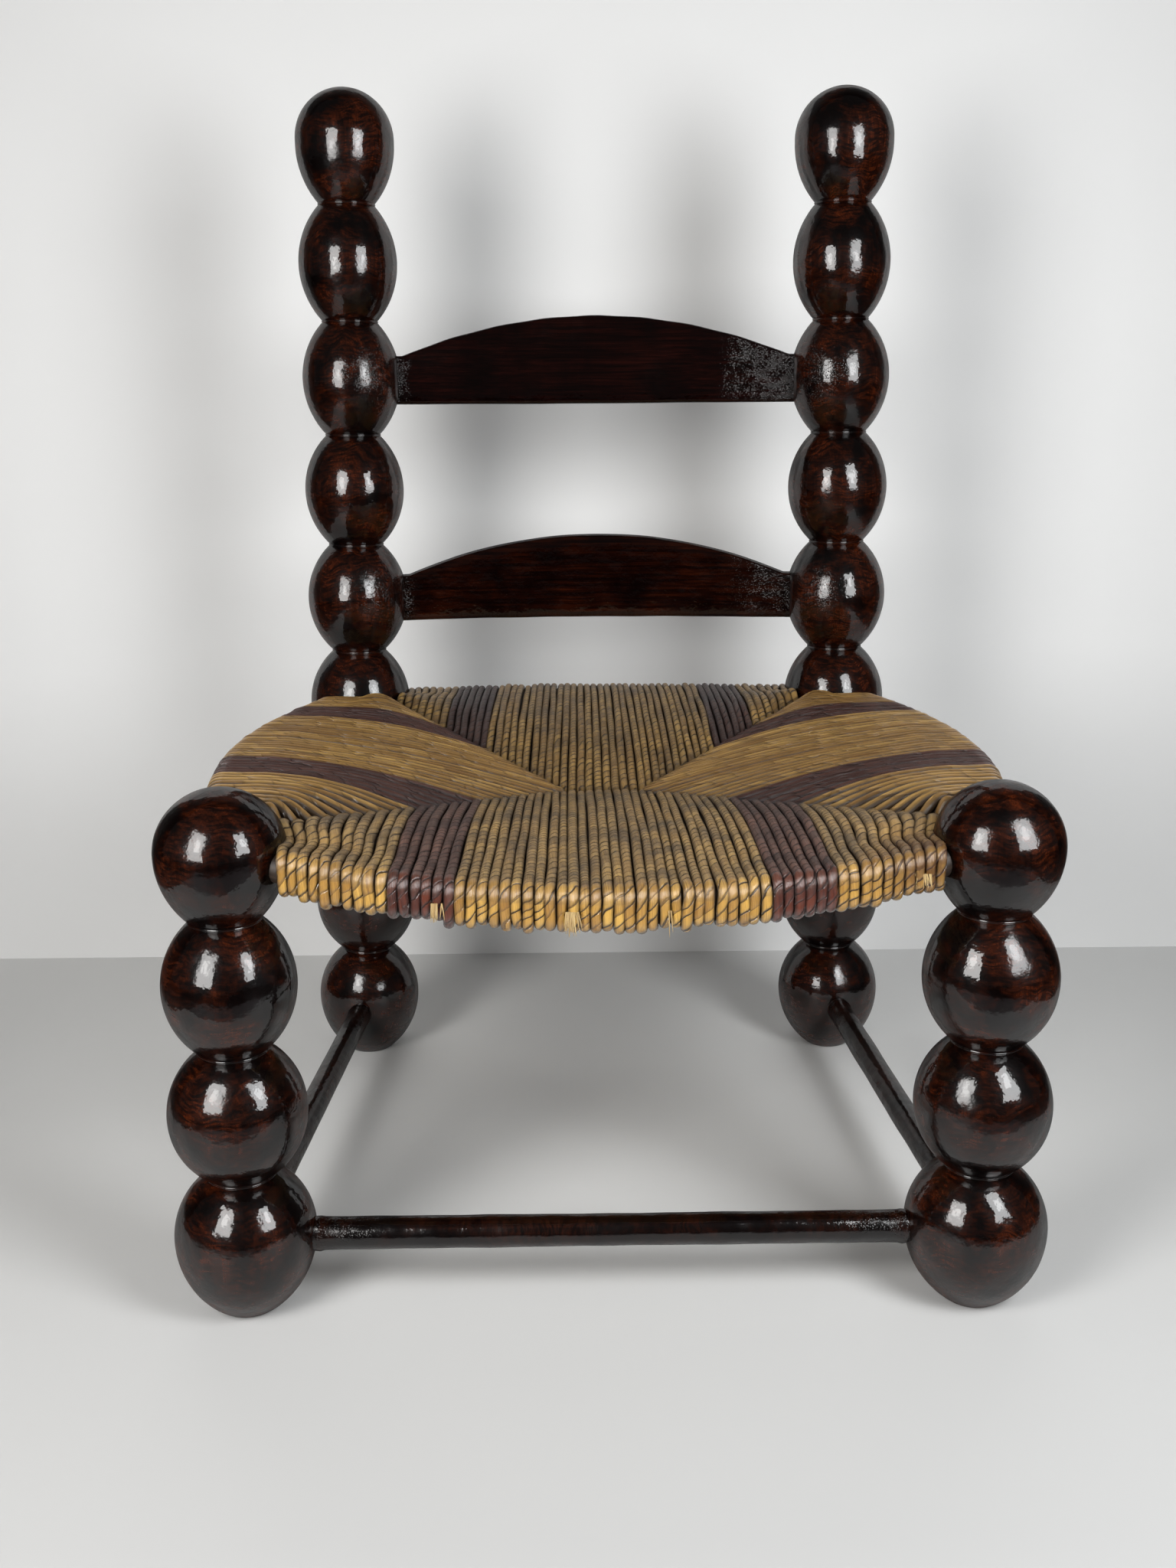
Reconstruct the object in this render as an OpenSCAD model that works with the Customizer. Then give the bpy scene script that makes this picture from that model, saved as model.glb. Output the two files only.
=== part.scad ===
// Low bobbin chair: four turned posts of stacked balls, two bowed back slats,
// three round stretchers and a rush seat wound in four fields over bowed rails.
// Millimetres, +Z up, the chair faces -Y, and the origin is on the floor under
// the middle of the chair.

/* [Posts] */
// Distance between the back posts' axes at the floor
back_post_span = 380; // [330:1:450]
// Distance between the front posts' axes
front_post_span = 432; // [390:1:500]
// Distance from the front posts' axes to the back posts' axes
post_depth = 372; // [320:1:430]
// Degrees by which each back post leans inwards as it rises
back_lean = 0.8; // [0:0.1:2]
// Height of the lowest ball's widest part above the floor
foot_ball_height = 47; // [42:0.5:54]
// Width of the flat under each foot
foot_flat_d = 34; // [20:1:44]
// Width of a post where two balls meet
neck_d = 41; // [34:0.5:48]
// Height of the narrow collar between two balls
collar_h = 1.6; // [0.6:0.1:4]
// How far that collar stands out past the balls' ends
collar_proud = 0.3; // [0.2:0.1:0.5]

/* [Back post balls] */
// Number of balls on a back post
back_balls = 9; // [8:1:10]
// Height of one ball on a back post, with its collar
back_pitch = 81.5; // [76:0.5:88]
// Width of the topmost ball of a back post
back_head_d = 70.5; // [64:0.5:76]
// Extra width of each ball over the ball above it on a back post
back_growth = 1.2; // [0:0.1:1.8]
// Height by which the rounded head is stretched above the topmost ball's middle
head_stretch = 3; // [0.5:0.5:8]

/* [Front post balls] */
// Number of balls on a front post
front_balls = 4; // [4:1:5]
// Height of one ball on a front post, with its collar
front_pitch = 78; // [73:0.5:84]
// Width of the topmost ball of a front post
front_head_d = 73; // [66:0.5:78]
// Extra width of each ball over the ball above it on a front post
front_growth = 3.2; // [0:0.1:4]

/* [Slats] */
// Thickness of a slat
slat_t = 13; // [9:0.5:18]
// Distance from a ball's middle down to the slat's straight lower edge
slat_below = 19; // [14:0.5:24]
// Distance from a ball's middle up to the slat's ends
slat_shoulder = 16; // [10:0.5:22]
// Distance from a ball's middle up to the slat's crest
slat_crest = 45; // [32:0.5:60]
// Length of the arched stretch of a slat's upper edge
slat_arch_span = 290; // [220:1:296]
// Distance by which a slat's middle lies behind its ends
slat_bow = 20; // [8:0.5:32]
// Ball, counted from the top, that holds the upper slat
upper_slat_ball = 3; // [2:1:3]
// Ball, counted from the top, that holds the lower slat
lower_slat_ball = 5; // [5:1:5]
// Depth of a slat's ends in the balls
slat_socket = 20; // [12:0.5:24]
// Depth of the flat that is planed on a ball where a slat enters
slat_flat_depth = 2.5; // [1:0.5:5]
// Margin of that flat round the slat's end
slat_flat_margin = 5; // [2:0.5:8]

/* [Stretchers] */
// Diameter of the front stretcher
front_stretcher_d = 19; // [14:0.5:24]
// Diameter of the side stretchers
side_stretcher_d = 18; // [14:0.5:24]
// Distance of the front stretcher's axis below the middle of the foot balls
front_stretcher_below = 2; // [1:0.5:6]
// Distance of the side stretchers' axes below the middle of the foot balls
side_stretcher_below = 4; // [1:0.5:8]
// Depth of the stretchers' ends in the balls
stretcher_socket = 22; // [14:0.5:26]

/* [Seat rails] */
// Diameter of the rails that carry the rush
rail_d = 17; // [13:0.5:21]
// Depth of the rails' ends in the balls
rail_socket = 17; // [12:0.5:20]
// Distance by which the front rail's middle stands off the line between its ends
front_bow = 44; // [20:1:60]
// Degrees by which the front rail's bow points below the level
front_drop = 26; // [0:1:35]
// Outward bow of the side rails
side_bow = 43; // [20:1:60]
// Distance of the side rails' front ends inside the front posts' axes
side_rail_front_inset = 13; // [4:1:18]
// Distance of the side rails' back ends inside the back posts' axes
side_rail_back_inset = 5; // [0:1:8]
// Height of the side rails' front ends above the front rail's ends
side_rail_front_rise = 6; // [0:0.5:8]
// Height of the side rails' back ends above the back rail's ends
side_rail_back_rise = 3; // [0:0.5:5]
// Backward bow of the back rail
back_bow = 20; // [8:1:40]
// Ball, counted from the top, that holds the back ends of the side rails
seat_ball = 6; // [6:1:6]
// Distance of the back rail's axis below the middle of that ball
back_rail_below = 6; // [0:0.5:10]

/* [Rush seat] */
// Thickness of the rush on the rails
rush_t = 5; // [3:0.5:8]
// Radius of the rush's corners over the rails
rush_corner_r = 9; // [5:0.5:11]
// Length of the seam where the front and back fields meet
seam_length = 48; // [36:1:80]
// Distance of the seam behind the front posts' axes
seam_depth = 190; // [160:1:220]
// Height of the seat's upper side at the seam
seam_top = 266; // [255:0.5:285]
// Thickness of the seat at the seam
seam_t = 17; // [12:0.5:30]
// Rise of the stuffed fields above a straight strand, half way in
field_crown = 4.5; // [0:0.5:8]
// Drop of the seat at its four inner corners
corner_dip = 2.5; // [0:0.5:8]
// Turns of cord between a front post and the end of the seam
front_diagonal_turns = 26; // [20:2:30]
// Turns of cord between a back post and the end of the seam
back_diagonal_turns = 24; // [20:2:30]
// Turns of cord along the seam
seam_turns = 8; // [6:2:16]
// Share by which the side fields' turns crowd together on the rails towards the back
side_crowding = 0.25; // [0:0.05:0.5]
// Share by which the turns' inner ends crowd together on the front diagonals towards the seam
front_diagonal_crowding = 0.2; // [0:0.05:0.4]
// Natural turns next to each front post
front_corner_turns = 10; // [5:1:12]
// Natural turns next to each back post
back_corner_turns = 7; // [5:1:12]
// Dyed turns beside them
dyed_turns = 6; // [2:1:8]

/* [Fits] */
// Clearance round each end in its socket
socket_fit = 0.2; // [0.1:0.05:0.5]
// Clearance between the rush and the rails and posts
rush_fit = 0.3; // [0.2:0.05:0.8]

/* [Hidden] */
$fn = 96;
FRONT = 0;
RIGHT = 1;
BACK = 2;
LEFT = 3;
// Room past a face, so that a cut goes right through it
through = 1;
// Depth of the straight block that a slat is cut from, and sides of the wide rounds that bend it
slat_block = 4 * (slat_bow + slat_t);
slat_bend_sides = 360;

// Balls, counted from the top of their post
function back_ball_r(ball) = (back_head_d + (ball - 1) * back_growth) / 2;
function front_ball_r(ball) = (front_head_d + (ball - 1) * front_growth) / 2;
function back_ball_z(ball) = foot_ball_height + (back_balls - ball) * back_pitch;
function front_ball_z(ball) = foot_ball_height + (front_balls - ball) * front_pitch;

// Where the posts stand: the front of the seat and the back feet end the chair
rim_half = rail_d / 2 + rush_t;
seat_reach = front_bow * cos(front_drop) + rim_half;
chair_depth = seat_reach + post_depth + back_ball_r(back_balls);
front_y = seat_reach - chair_depth / 2;
back_y = front_y + post_depth;
front_x = front_post_span / 2;
function back_x(z) = back_post_span / 2 - z * tan(back_lean);

// Corners of the seat on the posts' axes: front left, front right, back right, back left. Each side
// runs from the corner of its own number to the next
front_rail_z = front_ball_z(1);
back_rail_z = back_ball_z(seat_ball) - back_rail_below;
corners = [
    [-front_x, front_y, front_rail_z],
    [front_x, front_y, front_rail_z],
    [back_x(back_rail_z), back_y, back_rail_z],
    [-back_x(back_rail_z), back_y, back_rail_z]
];
// Ends of the rails' arcs, the side rails' beside the posts' axes
rail_starts = [
    corners[FRONT],
    corners[RIGHT] - [side_rail_front_inset, 0, -side_rail_front_rise],
    corners[BACK],
    corners[LEFT] + [side_rail_back_inset, 0, side_rail_back_rise]
];
rail_stops = [
    corners[RIGHT],
    corners[BACK] + [-side_rail_back_inset, 0, side_rail_back_rise],
    corners[LEFT],
    corners[FRONT] + [side_rail_front_inset, 0, side_rail_front_rise]
];
bows = [front_bow, side_bow, back_bow, side_bow];
drops = [front_drop, 0, 0, 0];
post_rs = [front_ball_r(1), front_ball_r(1), back_ball_r(seat_ball), back_ball_r(seat_ball)];
function after(side) = (side + 1) % 4;
function chord(side) = rail_stops[side] - rail_starts[side];
function span(side) = norm(chord(side));
function arc_r(length, bow) = (length * length / 4 + bow * bow) / (2 * bow);
function bow_at(side, x) =
    let (r = arc_r(span(side), bows[side])) sqrt(r * r - x * x) - r + bows[side];
function outward(side) = let (c = chord(side)) [c.y, -c.x, 0] / norm([c.x, c.y]);
// Point on a rail's axis, x along its chord from the middle
function rail_point(side, x) =
    (rail_starts[side] + rail_stops[side]) / 2
    + chord(side) / span(side) * x
    + outward(side) * bow_at(side, x) * cos(drops[side])
    - [0, 0, bow_at(side, x) * sin(drops[side])];

// Rush fields: turn by turn from one post to the next, inner ends on the diagonals and the seam
turns = [
    [front_diagonal_turns, seam_turns, front_diagonal_turns],
    [front_diagonal_turns, 0, back_diagonal_turns],
    [back_diagonal_turns, seam_turns, back_diagonal_turns],
    [back_diagonal_turns, 0, front_diagonal_turns]
];
function turn_count(side) = turns[side][0] + turns[side][1] + turns[side][2];
inward = [[1, 1], [-1, 1], [-1, -1], [1, -1]];
function post_gap(corner) = post_rs[corner] + rush_fit;
function inner_corner(corner) =
    [corners[corner].x, corners[corner].y] + inward[corner] * post_gap(corner);
seam_y = front_y + seam_depth;
seam_ends = [[-seam_length / 2, seam_y], [seam_length / 2, seam_y]];
// End of the seam that each side's first and last diagonal runs to
first_seam_end = [seam_ends[0], seam_ends[1], seam_ends[1], seam_ends[0]];
last_seam_end = [seam_ends[1], seam_ends[1], seam_ends[0], seam_ends[0]];
function mix(a, b, t) = a + (b - a) * t;
// Post whose diagonal a turn's inner end is on
function nearer(side, turn) = turn <= turns[side][0] ? side : after(side);
diagonal_crowding = [front_diagonal_crowding, front_diagonal_crowding, 0, 0];
// How far a turn's inner end is along its diagonal: 0 at the post, 1 on the seam
function along(side, turn) = let (
    part = min(1, turn / turns[side][0], (turn_count(side) - turn) / turns[side][2])
) part + diagonal_crowding[nearer(side, turn)] * part * (1 - part);
function inner_end(side, turn) =
    turn <= turns[side][0]
        ? mix(inner_corner(side), first_seam_end[side], along(side, turn))
    : turn < turns[side][0] + turns[side][1]
        ? mix(first_seam_end[side], last_seam_end[side], (turn - turns[side][0]) / turns[side][1])
    : mix(inner_corner(after(side)), last_seam_end[side], along(side, turn));
function inner_top(side, turn) =
    mix(corners[nearer(side, turn)].z + rim_half - corner_dip, seam_top, along(side, turn));
function inner_bottom(side, turn) =
    mix(corners[nearer(side, turn)].z - rim_half + corner_dip, seam_top - seam_t, along(side, turn));
crowding = [0, side_crowding, 0, -side_crowding];
function turn_x(side, turn) = let (part = turn / turn_count(side))
    mix(post_gap(side) - span(side) / 2, span(side) / 2 - post_gap(after(side)),
        part + crowding[side] * part * (1 - part));

// Section of the seat in a turn's upright plane: distance out from the rail's axis, height
function turn_section(reach, rail_z, top_z, bottom_z) = let (
    edge = rim_half - rush_corner_r,
    bend = rush_corner_r * cos(45),
    upper = rail_z + rim_half,
    lower = rail_z - rim_half,
    half_way = -(reach + rim_half) / 2
) [
    [-reach, top_z],
    [half_way, (top_z + upper) / 2 + field_crown],
    [-rim_half, upper],
    [edge, upper],
    [edge + bend, rail_z + edge + bend],
    [rim_half, rail_z + edge],
    [rim_half, rail_z - edge],
    [edge + bend, rail_z - edge - bend],
    [edge, lower],
    [-rim_half, lower],
    [half_way, (bottom_z + lower) / 2],
    [-reach, bottom_z]
];
// Section of the hole for the rail, point by point beside the section of the seat
hole_sides = 12;
function hole_section(rail_z, skew) = let (r = (rail_d / 2 + rush_fit) / cos(180 / hole_sides))
    [for (i = [0 : hole_sides - 1]) let (a = 180 - (i + 0.5) * 360 / hole_sides)
        [r * cos(a) / skew, rail_z + r * sin(a)]];
// Cosine of the angle between a turn's plane and the square cut across its rail
function turn_skew(side, x, heading) = let (
    a = asin(x / arc_r(span(side), bows[side])),
    along_chord = chord(side) / span(side),
    square_cut = outward(side) * cos(a) + along_chord * sin(a)
) abs(heading.x * square_cut.x + heading.y * square_cut.y) / norm([square_cut.x, square_cut.y]);
// Outer points of a turn, then the points of the hole
function turn_ring(side, turn) = let (
    x = turn_x(side, turn),
    rim = rail_point(side, x),
    out = [rim.x, rim.y] - inner_end(side, turn),
    reach = norm(out),
    heading = out / reach,
    outer = turn_section(reach, rim.z, inner_top(side, turn), inner_bottom(side, turn)),
    hole = hole_section(rim.z, turn_skew(side, x, heading))
) [for (p = concat(outer, hole)) [rim.x + heading.x * p.x, rim.y + heading.y * p.x, p.y]];

// Outline of a ball as turned: an arc of a circle between two necks
module ball_outline(r, half, upper) {
    rise = r - neck_d / 2;
    arc = (rise * rise + half * half) / (2 * rise);
    intersection() {
        translate([r - arc, 0])
            circle(r = arc);
        translate([0, -half])
            square([r, half + upper]);
    }
}

module foot_outline(r) {
    rise = r - foot_flat_d / 2;
    arc = (rise * rise + pow(foot_ball_height, 2)) / (2 * rise);
    intersection() {
        translate([r - arc, 0])
            circle(r = arc);
        translate([0, -foot_ball_height - through])
            square([r, foot_ball_height + through]);
    }
}

module head_outline(r, stretch) {
    if (stretch > 0)
        square([r, stretch]);
    translate([0, stretch])
        intersection() {
            circle(r = r);
            square(r);
        }
}

module post_blank(radii, pitch, stretch) {
    count = len(radii);
    half = (pitch - collar_h) / 2;
    rotate_extrude() {
        translate([0, foot_ball_height])
            foot_outline(radii[count - 1]);
        for (ball = [1 : count])
            translate([0, foot_ball_height + (count - ball) * pitch])
                ball_outline(radii[ball - 1], half, ball == 1 ? 0 : half);
        for (ball = [2 : count])
            translate([0, foot_ball_height + (count - ball) * pitch + half - through])
                square([neck_d / 2 + collar_proud, collar_h + 2 * through]);
        translate([0, foot_ball_height + (count - 1) * pitch])
            head_outline(radii[0], stretch);
    }
}

module below_floor() {
    translate([-front_post_span, -chair_depth, -foot_ball_height])
        cube([2 * front_post_span, 2 * chair_depth, foot_ball_height]);
}

// Round rail on its arc, its ends a socket's depth inside the posts' balls
module seat_rail(side, fit) {
    c = chord(side);
    r = arc_r(span(side), bows[side]);
    // Distances of the rail's ends from the posts' axes
    start = post_rs[side] - rail_socket - fit;
    finish = post_rs[after(side)] - rail_socket - fit;
    from = asin((start - span(side) / 2) / r);
    to = asin((span(side) / 2 - finish) / r);
    translate((rail_starts[side] + rail_stops[side]) / 2)
        rotate([0, -asin(c.z / span(side)), atan2(c.y, c.x)])
            rotate([drops[side], 0, 0])
                translate([0, r - bows[side], 0])
                    rotate([0, 0, from - 90])
                        rotate_extrude(angle = to - from)
                            translate([r, 0])
                                circle(d = rail_d + 2 * fit);
}

module slat_outline(shoulder_half, fit) {
    arch_half = slat_arch_span / 2;
    rise = slat_crest - slat_shoulder;
    arc = (rise * rise + arch_half * arch_half) / (2 * rise);
    translate([-shoulder_half, -slat_below - fit])
        square([2 * shoulder_half, slat_below + slat_shoulder + 2 * fit]);
    intersection() {
        translate([0, slat_crest - arc])
            circle(r = arc);
        translate([-arch_half, slat_shoulder - through])
            square([2 * arch_half, slat_crest - slat_shoulder + through]);
    }
}

// Slat cut from a bowed board, its ends in the balls of both back posts
module slat_board(ball, fit) {
    z = back_ball_z(ball);
    half = back_x(z) - back_ball_r(ball) + slat_socket + fit;
    r = arc_r(2 * back_x(z), slat_bow);
    tall = 2 * back_pitch;
    translate([0, back_y, z])
        intersection() {
            rotate([90, 0, 0])
                linear_extrude(height = slat_block, center = true)
                    slat_outline(half, fit);
            translate([0, slat_bow - r, -tall / 2])
                difference() {
                    cylinder(r = r + slat_t / 2 + fit, h = tall, $fn = slat_bend_sides);
                    translate([0, 0, -through])
                        cylinder(r = r - slat_t / 2 - fit, h = tall + 2 * through, $fn = slat_bend_sides);
                }
        }
}

// Flat planed on the ball round a slat's end, on the side of the chair's middle
module slat_flat(ball) {
    z = back_ball_z(ball);
    face = back_x(z) - back_ball_r(ball) + slat_flat_depth;
    wide = slat_t + 2 * slat_flat_margin;
    translate([-face, back_y - wide / 2, z - slat_below - slat_flat_margin])
        cube([2 * face, wide, slat_below + slat_shoulder + 2 * slat_flat_margin]);
}

module front_stretcher_bar(fit) {
    reach = front_x - front_ball_r(front_balls) + stretcher_socket + fit;
    translate([-reach, front_y, foot_ball_height - front_stretcher_below])
        rotate([0, 90, 0])
            cylinder(d = front_stretcher_d + 2 * fit, h = 2 * reach);
}

// Left side stretcher, between the lowest balls
module side_stretcher_bar(fit) {
    z = foot_ball_height - side_stretcher_below;
    from = [-front_x, front_y];
    to = [-back_x(z), back_y];
    run = norm(to - from);
    start = front_ball_r(front_balls) - stretcher_socket - fit;
    finish = run - back_ball_r(back_balls) + stretcher_socket + fit;
    translate([from.x, from.y, z])
        rotate([0, 90, atan2(to.y - from.y, to.x - from.x)])
            translate([0, 0, start])
                cylinder(d = side_stretcher_d + 2 * fit, h = finish - start);
}

module back_post_left() {
    radii = [for (ball = [1 : back_balls]) back_ball_r(ball)];
    color("#2a1210")
        difference() {
            translate([-back_post_span / 2, back_y, 0])
                rotate([0, back_lean, 0])
                    post_blank(radii, back_pitch, head_stretch);
            below_floor();
            slat_flat(upper_slat_ball);
            slat_flat(lower_slat_ball);
            slat_board(upper_slat_ball, socket_fit);
            slat_board(lower_slat_ball, socket_fit);
            seat_rail(LEFT, socket_fit);
            seat_rail(BACK, socket_fit);
            side_stretcher_bar(socket_fit);
        }
}

module front_post_left() {
    radii = [for (ball = [1 : front_balls]) front_ball_r(ball)];
    color("#2a1210")
        difference() {
            translate([-front_x, front_y, 0])
                post_blank(radii, front_pitch, 0);
            below_floor();
            seat_rail(LEFT, socket_fit);
            seat_rail(FRONT, socket_fit);
            front_stretcher_bar(socket_fit);
            side_stretcher_bar(socket_fit);
        }
}

module back_post_right() {
    mirror([1, 0, 0])
        back_post_left();
}

module front_post_right() {
    mirror([1, 0, 0])
        front_post_left();
}

module upper_slat() {
    color("#32150f")
        slat_board(upper_slat_ball, 0);
}

module lower_slat() {
    color("#32150f")
        slat_board(lower_slat_ball, 0);
}

module front_stretcher() {
    color("#2e1411")
        front_stretcher_bar(0);
}

module side_stretcher_left() {
    color("#2e1411")
        side_stretcher_bar(0);
}

module side_stretcher_right() {
    mirror([1, 0, 0])
        side_stretcher_left();
}

module front_rail() {
    color("#4a2a1a")
        seat_rail(FRONT, 0);
}

module right_rail() {
    color("#4a2a1a")
        seat_rail(RIGHT, 0);
}

module back_rail() {
    color("#4a2a1a")
        seat_rail(BACK, 0);
}

module left_rail() {
    color("#4a2a1a")
        seat_rail(LEFT, 0);
}

// Turns at which a stretch of a field has its rings: even steps between the stretch's ends and the
// diagonals' ends, so that neighbouring fields meet point by point
ring_step = 2;
function diagonal_ends(side) =
    turns[side][1] > 0 ? [turns[side][0], turns[side][0] + turns[side][1]] : [turns[side][0]];
function ring_turns(side, first, last) = let (
    marks = concat(first, [for (turn = diagonal_ends(side)) if (turn > first && turn < last) turn], last)
) [
    for (i = [0 : len(marks) - 2])
        let (steps = ceil((marks[i + 1] - marks[i]) / ring_step))
            for (step = [0 : steps - 1]) mix(marks[i], marks[i + 1], step / steps),
    last
];

// Stretch of a field from one turn to another, as a closed solid with its rail's hole
module rush_stretch(side, first, last) {
    rings = [for (turn = ring_turns(side, first, last)) turn_ring(side, turn)];
    steps = len(rings) - 1;
    size = 2 * hole_sides;
    // Two triangles over the four points that follow each other round a, b, c and d
    function quad(a, b, c, d) = [[a, b, c], [a, c, d]];
    function next(i) = (i + 1) % hole_sides;
    outside = [for (step = [0 : steps - 1], i = [0 : hole_sides - 1]) let (at = step * size)
        each quad(at + i, at + next(i), at + size + next(i), at + size + i)];
    inside = [for (step = [0 : steps - 1], i = [0 : hole_sides - 1]) let (at = step * size + hole_sides)
        each quad(at + next(i), at + i, at + size + i, at + size + next(i))];
    start_cap = [for (i = [0 : hole_sides - 1])
        each quad(next(i), i, hole_sides + i, hole_sides + next(i))];
    end_cap = [for (i = [0 : hole_sides - 1]) let (at = steps * size)
        each quad(at + i, at + next(i), at + hole_sides + next(i), at + hole_sides + i)];
    polyhedron([for (ring = rings) each ring], concat(outside, inside, start_cap, end_cap), convexity = 6);
}

// Turns where each stretch of a field begins: natural, dyed, natural, dyed, natural
natural_turns = [front_corner_turns, front_corner_turns, back_corner_turns, back_corner_turns];
function stretches(side) = let (
    n = turn_count(side),
    first = natural_turns[side],
    last = natural_turns[after(side)]
) [0, first, first + dyed_turns, n - last - dyed_turns, n - last, n];

module rush_natural(side) {
    starts = stretches(side);
    color("#b8924f")
        for (part = [0 : 2 : 4])
            rush_stretch(side, starts[part], starts[part + 1]);
}

module rush_dyed(side) {
    starts = stretches(side);
    color("#54302b")
        for (part = [1 : 2 : 3])
            rush_stretch(side, starts[part], starts[part + 1]);
}

module front_rush_natural() {
    rush_natural(FRONT);
}

module front_rush_dyed() {
    rush_dyed(FRONT);
}

module right_rush_natural() {
    rush_natural(RIGHT);
}

module right_rush_dyed() {
    rush_dyed(RIGHT);
}

module back_rush_natural() {
    rush_natural(BACK);
}

module back_rush_dyed() {
    rush_dyed(BACK);
}

module left_rush_natural() {
    rush_natural(LEFT);
}

module left_rush_dyed() {
    rush_dyed(LEFT);
}

back_post_left();
back_post_right();
front_post_left();
front_post_right();
upper_slat();
lower_slat();
front_stretcher();
side_stretcher_left();
side_stretcher_right();
front_rail();
right_rail();
back_rail();
left_rail();
front_rush_natural();
front_rush_dyed();
right_rush_natural();
right_rush_dyed();
back_rush_natural();
back_rush_dyed();
left_rush_natural();
left_rush_dyed();
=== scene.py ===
import math

import bmesh
import bpy
import numpy as np
from mathutils import Matrix, Vector


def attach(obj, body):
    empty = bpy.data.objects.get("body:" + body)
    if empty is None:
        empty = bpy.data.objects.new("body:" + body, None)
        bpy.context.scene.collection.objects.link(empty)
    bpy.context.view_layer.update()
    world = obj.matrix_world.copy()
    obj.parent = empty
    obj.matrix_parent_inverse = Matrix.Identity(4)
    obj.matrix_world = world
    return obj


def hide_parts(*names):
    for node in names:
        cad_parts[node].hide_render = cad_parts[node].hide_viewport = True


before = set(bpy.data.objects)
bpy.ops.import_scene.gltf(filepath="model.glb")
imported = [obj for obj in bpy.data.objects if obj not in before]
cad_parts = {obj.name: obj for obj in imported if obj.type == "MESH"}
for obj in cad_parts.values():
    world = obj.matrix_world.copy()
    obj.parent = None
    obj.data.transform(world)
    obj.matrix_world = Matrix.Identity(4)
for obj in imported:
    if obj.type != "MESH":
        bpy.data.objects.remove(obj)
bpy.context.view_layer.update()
print("frame loaded:", len(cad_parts), "nodes")


camera = {
    "place": (-0.0224, -0.9936, 0.5284),   # metres, in the chair's frame
    "turn": 0.0123,                        # radians to the right of +Y
    "tilt": 0.2529,                        # radians below the level
    "roll": 0.0062,
    "lens": 35.19,                         # mm on a 36 mm long side
}


def addObject(name, data):
    obj = bpy.data.objects.new(name, data)
    bpy.context.scene.collection.objects.link(obj)
    return obj


def makeCamera(c):
    # view axes: forward from turn and tilt, right and down turned by the roll
    ct, st = math.cos(c["tilt"]), math.sin(c["tilt"])
    cy, sy = math.cos(c["turn"]), math.sin(c["turn"])
    cr, sr = math.cos(c["roll"]), math.sin(c["roll"])
    forward = Vector((sy * ct, cy * ct, -st))
    level = Vector((cy, -sy, 0.0))
    below = forward.cross(level)
    right = level * cr + below * sr
    down = below * cr - level * sr
    data = bpy.data.cameras.new("camera")
    data.lens = c["lens"]
    data.sensor_width = 36.0
    data.clip_end = 30.0
    obj = addObject("camera", data)
    axes = Matrix((right, -down, -forward)).transposed()
    obj.matrix_world = Matrix.Translation(c["place"]) @ axes.to_4x4()
    bpy.context.scene.camera = obj


makeCamera(camera)
bpy.context.scene.view_settings.view_transform = "Standard"


def meshFromGrids(name, points, wrapCols=True, uv=None, values=None):
    # points: (grids, rows, cols, 3), joined to quads by index arithmetic; wrapCols closes each row on itself.
    # uv: (grids, rows, cols + 1, 2)
    grids, rows, cols = points.shape[:3]
    lastCol = cols if wrapCols else cols - 1
    g, r, c = np.meshgrid(np.arange(grids), np.arange(rows - 1), np.arange(lastCol), indexing="ij")

    def corners(wide):
        at = lambda row, col: (g * rows + row) * wide + col % wide
        return np.stack([at(r, c), at(r, c + 1), at(r + 1, c + 1), at(r + 1, c)], -1).ravel()

    quads = corners(cols)
    mesh = bpy.data.meshes.new(name)
    mesh.vertices.add(grids * rows * cols)
    mesh.vertices.foreach_set("co", points.astype(np.float32).ravel())
    mesh.loops.add(len(quads))
    mesh.loops.foreach_set("vertex_index", quads.astype(np.int32))
    mesh.polygons.add(len(quads) // 4)
    mesh.polygons.foreach_set("loop_start", np.arange(0, len(quads), 4, dtype=np.int32))
    mesh.polygons.foreach_set("use_smooth", np.ones(len(quads) // 4, dtype=bool))
    if uv is not None:
        layer = mesh.uv_layers.new(name="wrap")
        layer.data.foreach_set("uv", uv.reshape(-1, 2)[corners(cols + 1)].astype(np.float32).ravel())
    mesh.update(calc_edges=True)
    for key, data in (values or {}).items():
        layer = mesh.attributes.new(key, "FLOAT", "POINT")
        spread = np.broadcast_to(data, points.shape[:3])
        layer.data.foreach_set("value", spread.astype(np.float32).ravel())
    mesh.validate()
    return mesh


def turnedMesh(name, points, pits):
    # one grid with a mask of the pitted lacquer; doubles at the poles merged, all faces turned outwards
    mesh = meshFromGrids(name, points[None], values={"pits": pits})
    bm = bmesh.new()
    bm.from_mesh(mesh)
    bmesh.ops.remove_doubles(bm, verts=bm.verts, dist=1e-6)
    bmesh.ops.recalc_face_normals(bm, faces=bm.faces)
    bm.to_mesh(mesh)
    bm.free()
    return mesh


def addPiece(name, mesh, material, replaced):
    obj = addObject(name, mesh)
    mesh.materials.append(material)
    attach(obj, "root")
    if replaced:
        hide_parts(*replaced)


def smoothNoise(rng, count, length, waves):
    # count random curves over 0..1: a sum of sines of rising wave numbers, falling in height
    t = np.linspace(0, 1, length)[None, :]
    total = np.zeros((count, length))
    for wave in waves:
        sines = np.sin(2 * np.pi * (wave * t + rng.random((count, 1))))
        total += sines * rng.normal(0, 1, (count, 1)) / math.sqrt(wave)
    return total / math.sqrt(len(waves))


def roundAngles(count):
    return np.arange(count) * 2 * np.pi / count


def setInputs(tree, node, inputs):
    # another node's output is linked, any other value goes on the socket itself
    for key, value in inputs.items():
        if isinstance(value, bpy.types.NodeSocket):
            tree.links.new(value, node.inputs[key])
        else:
            node.inputs[key].default_value = value
    return node


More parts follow.
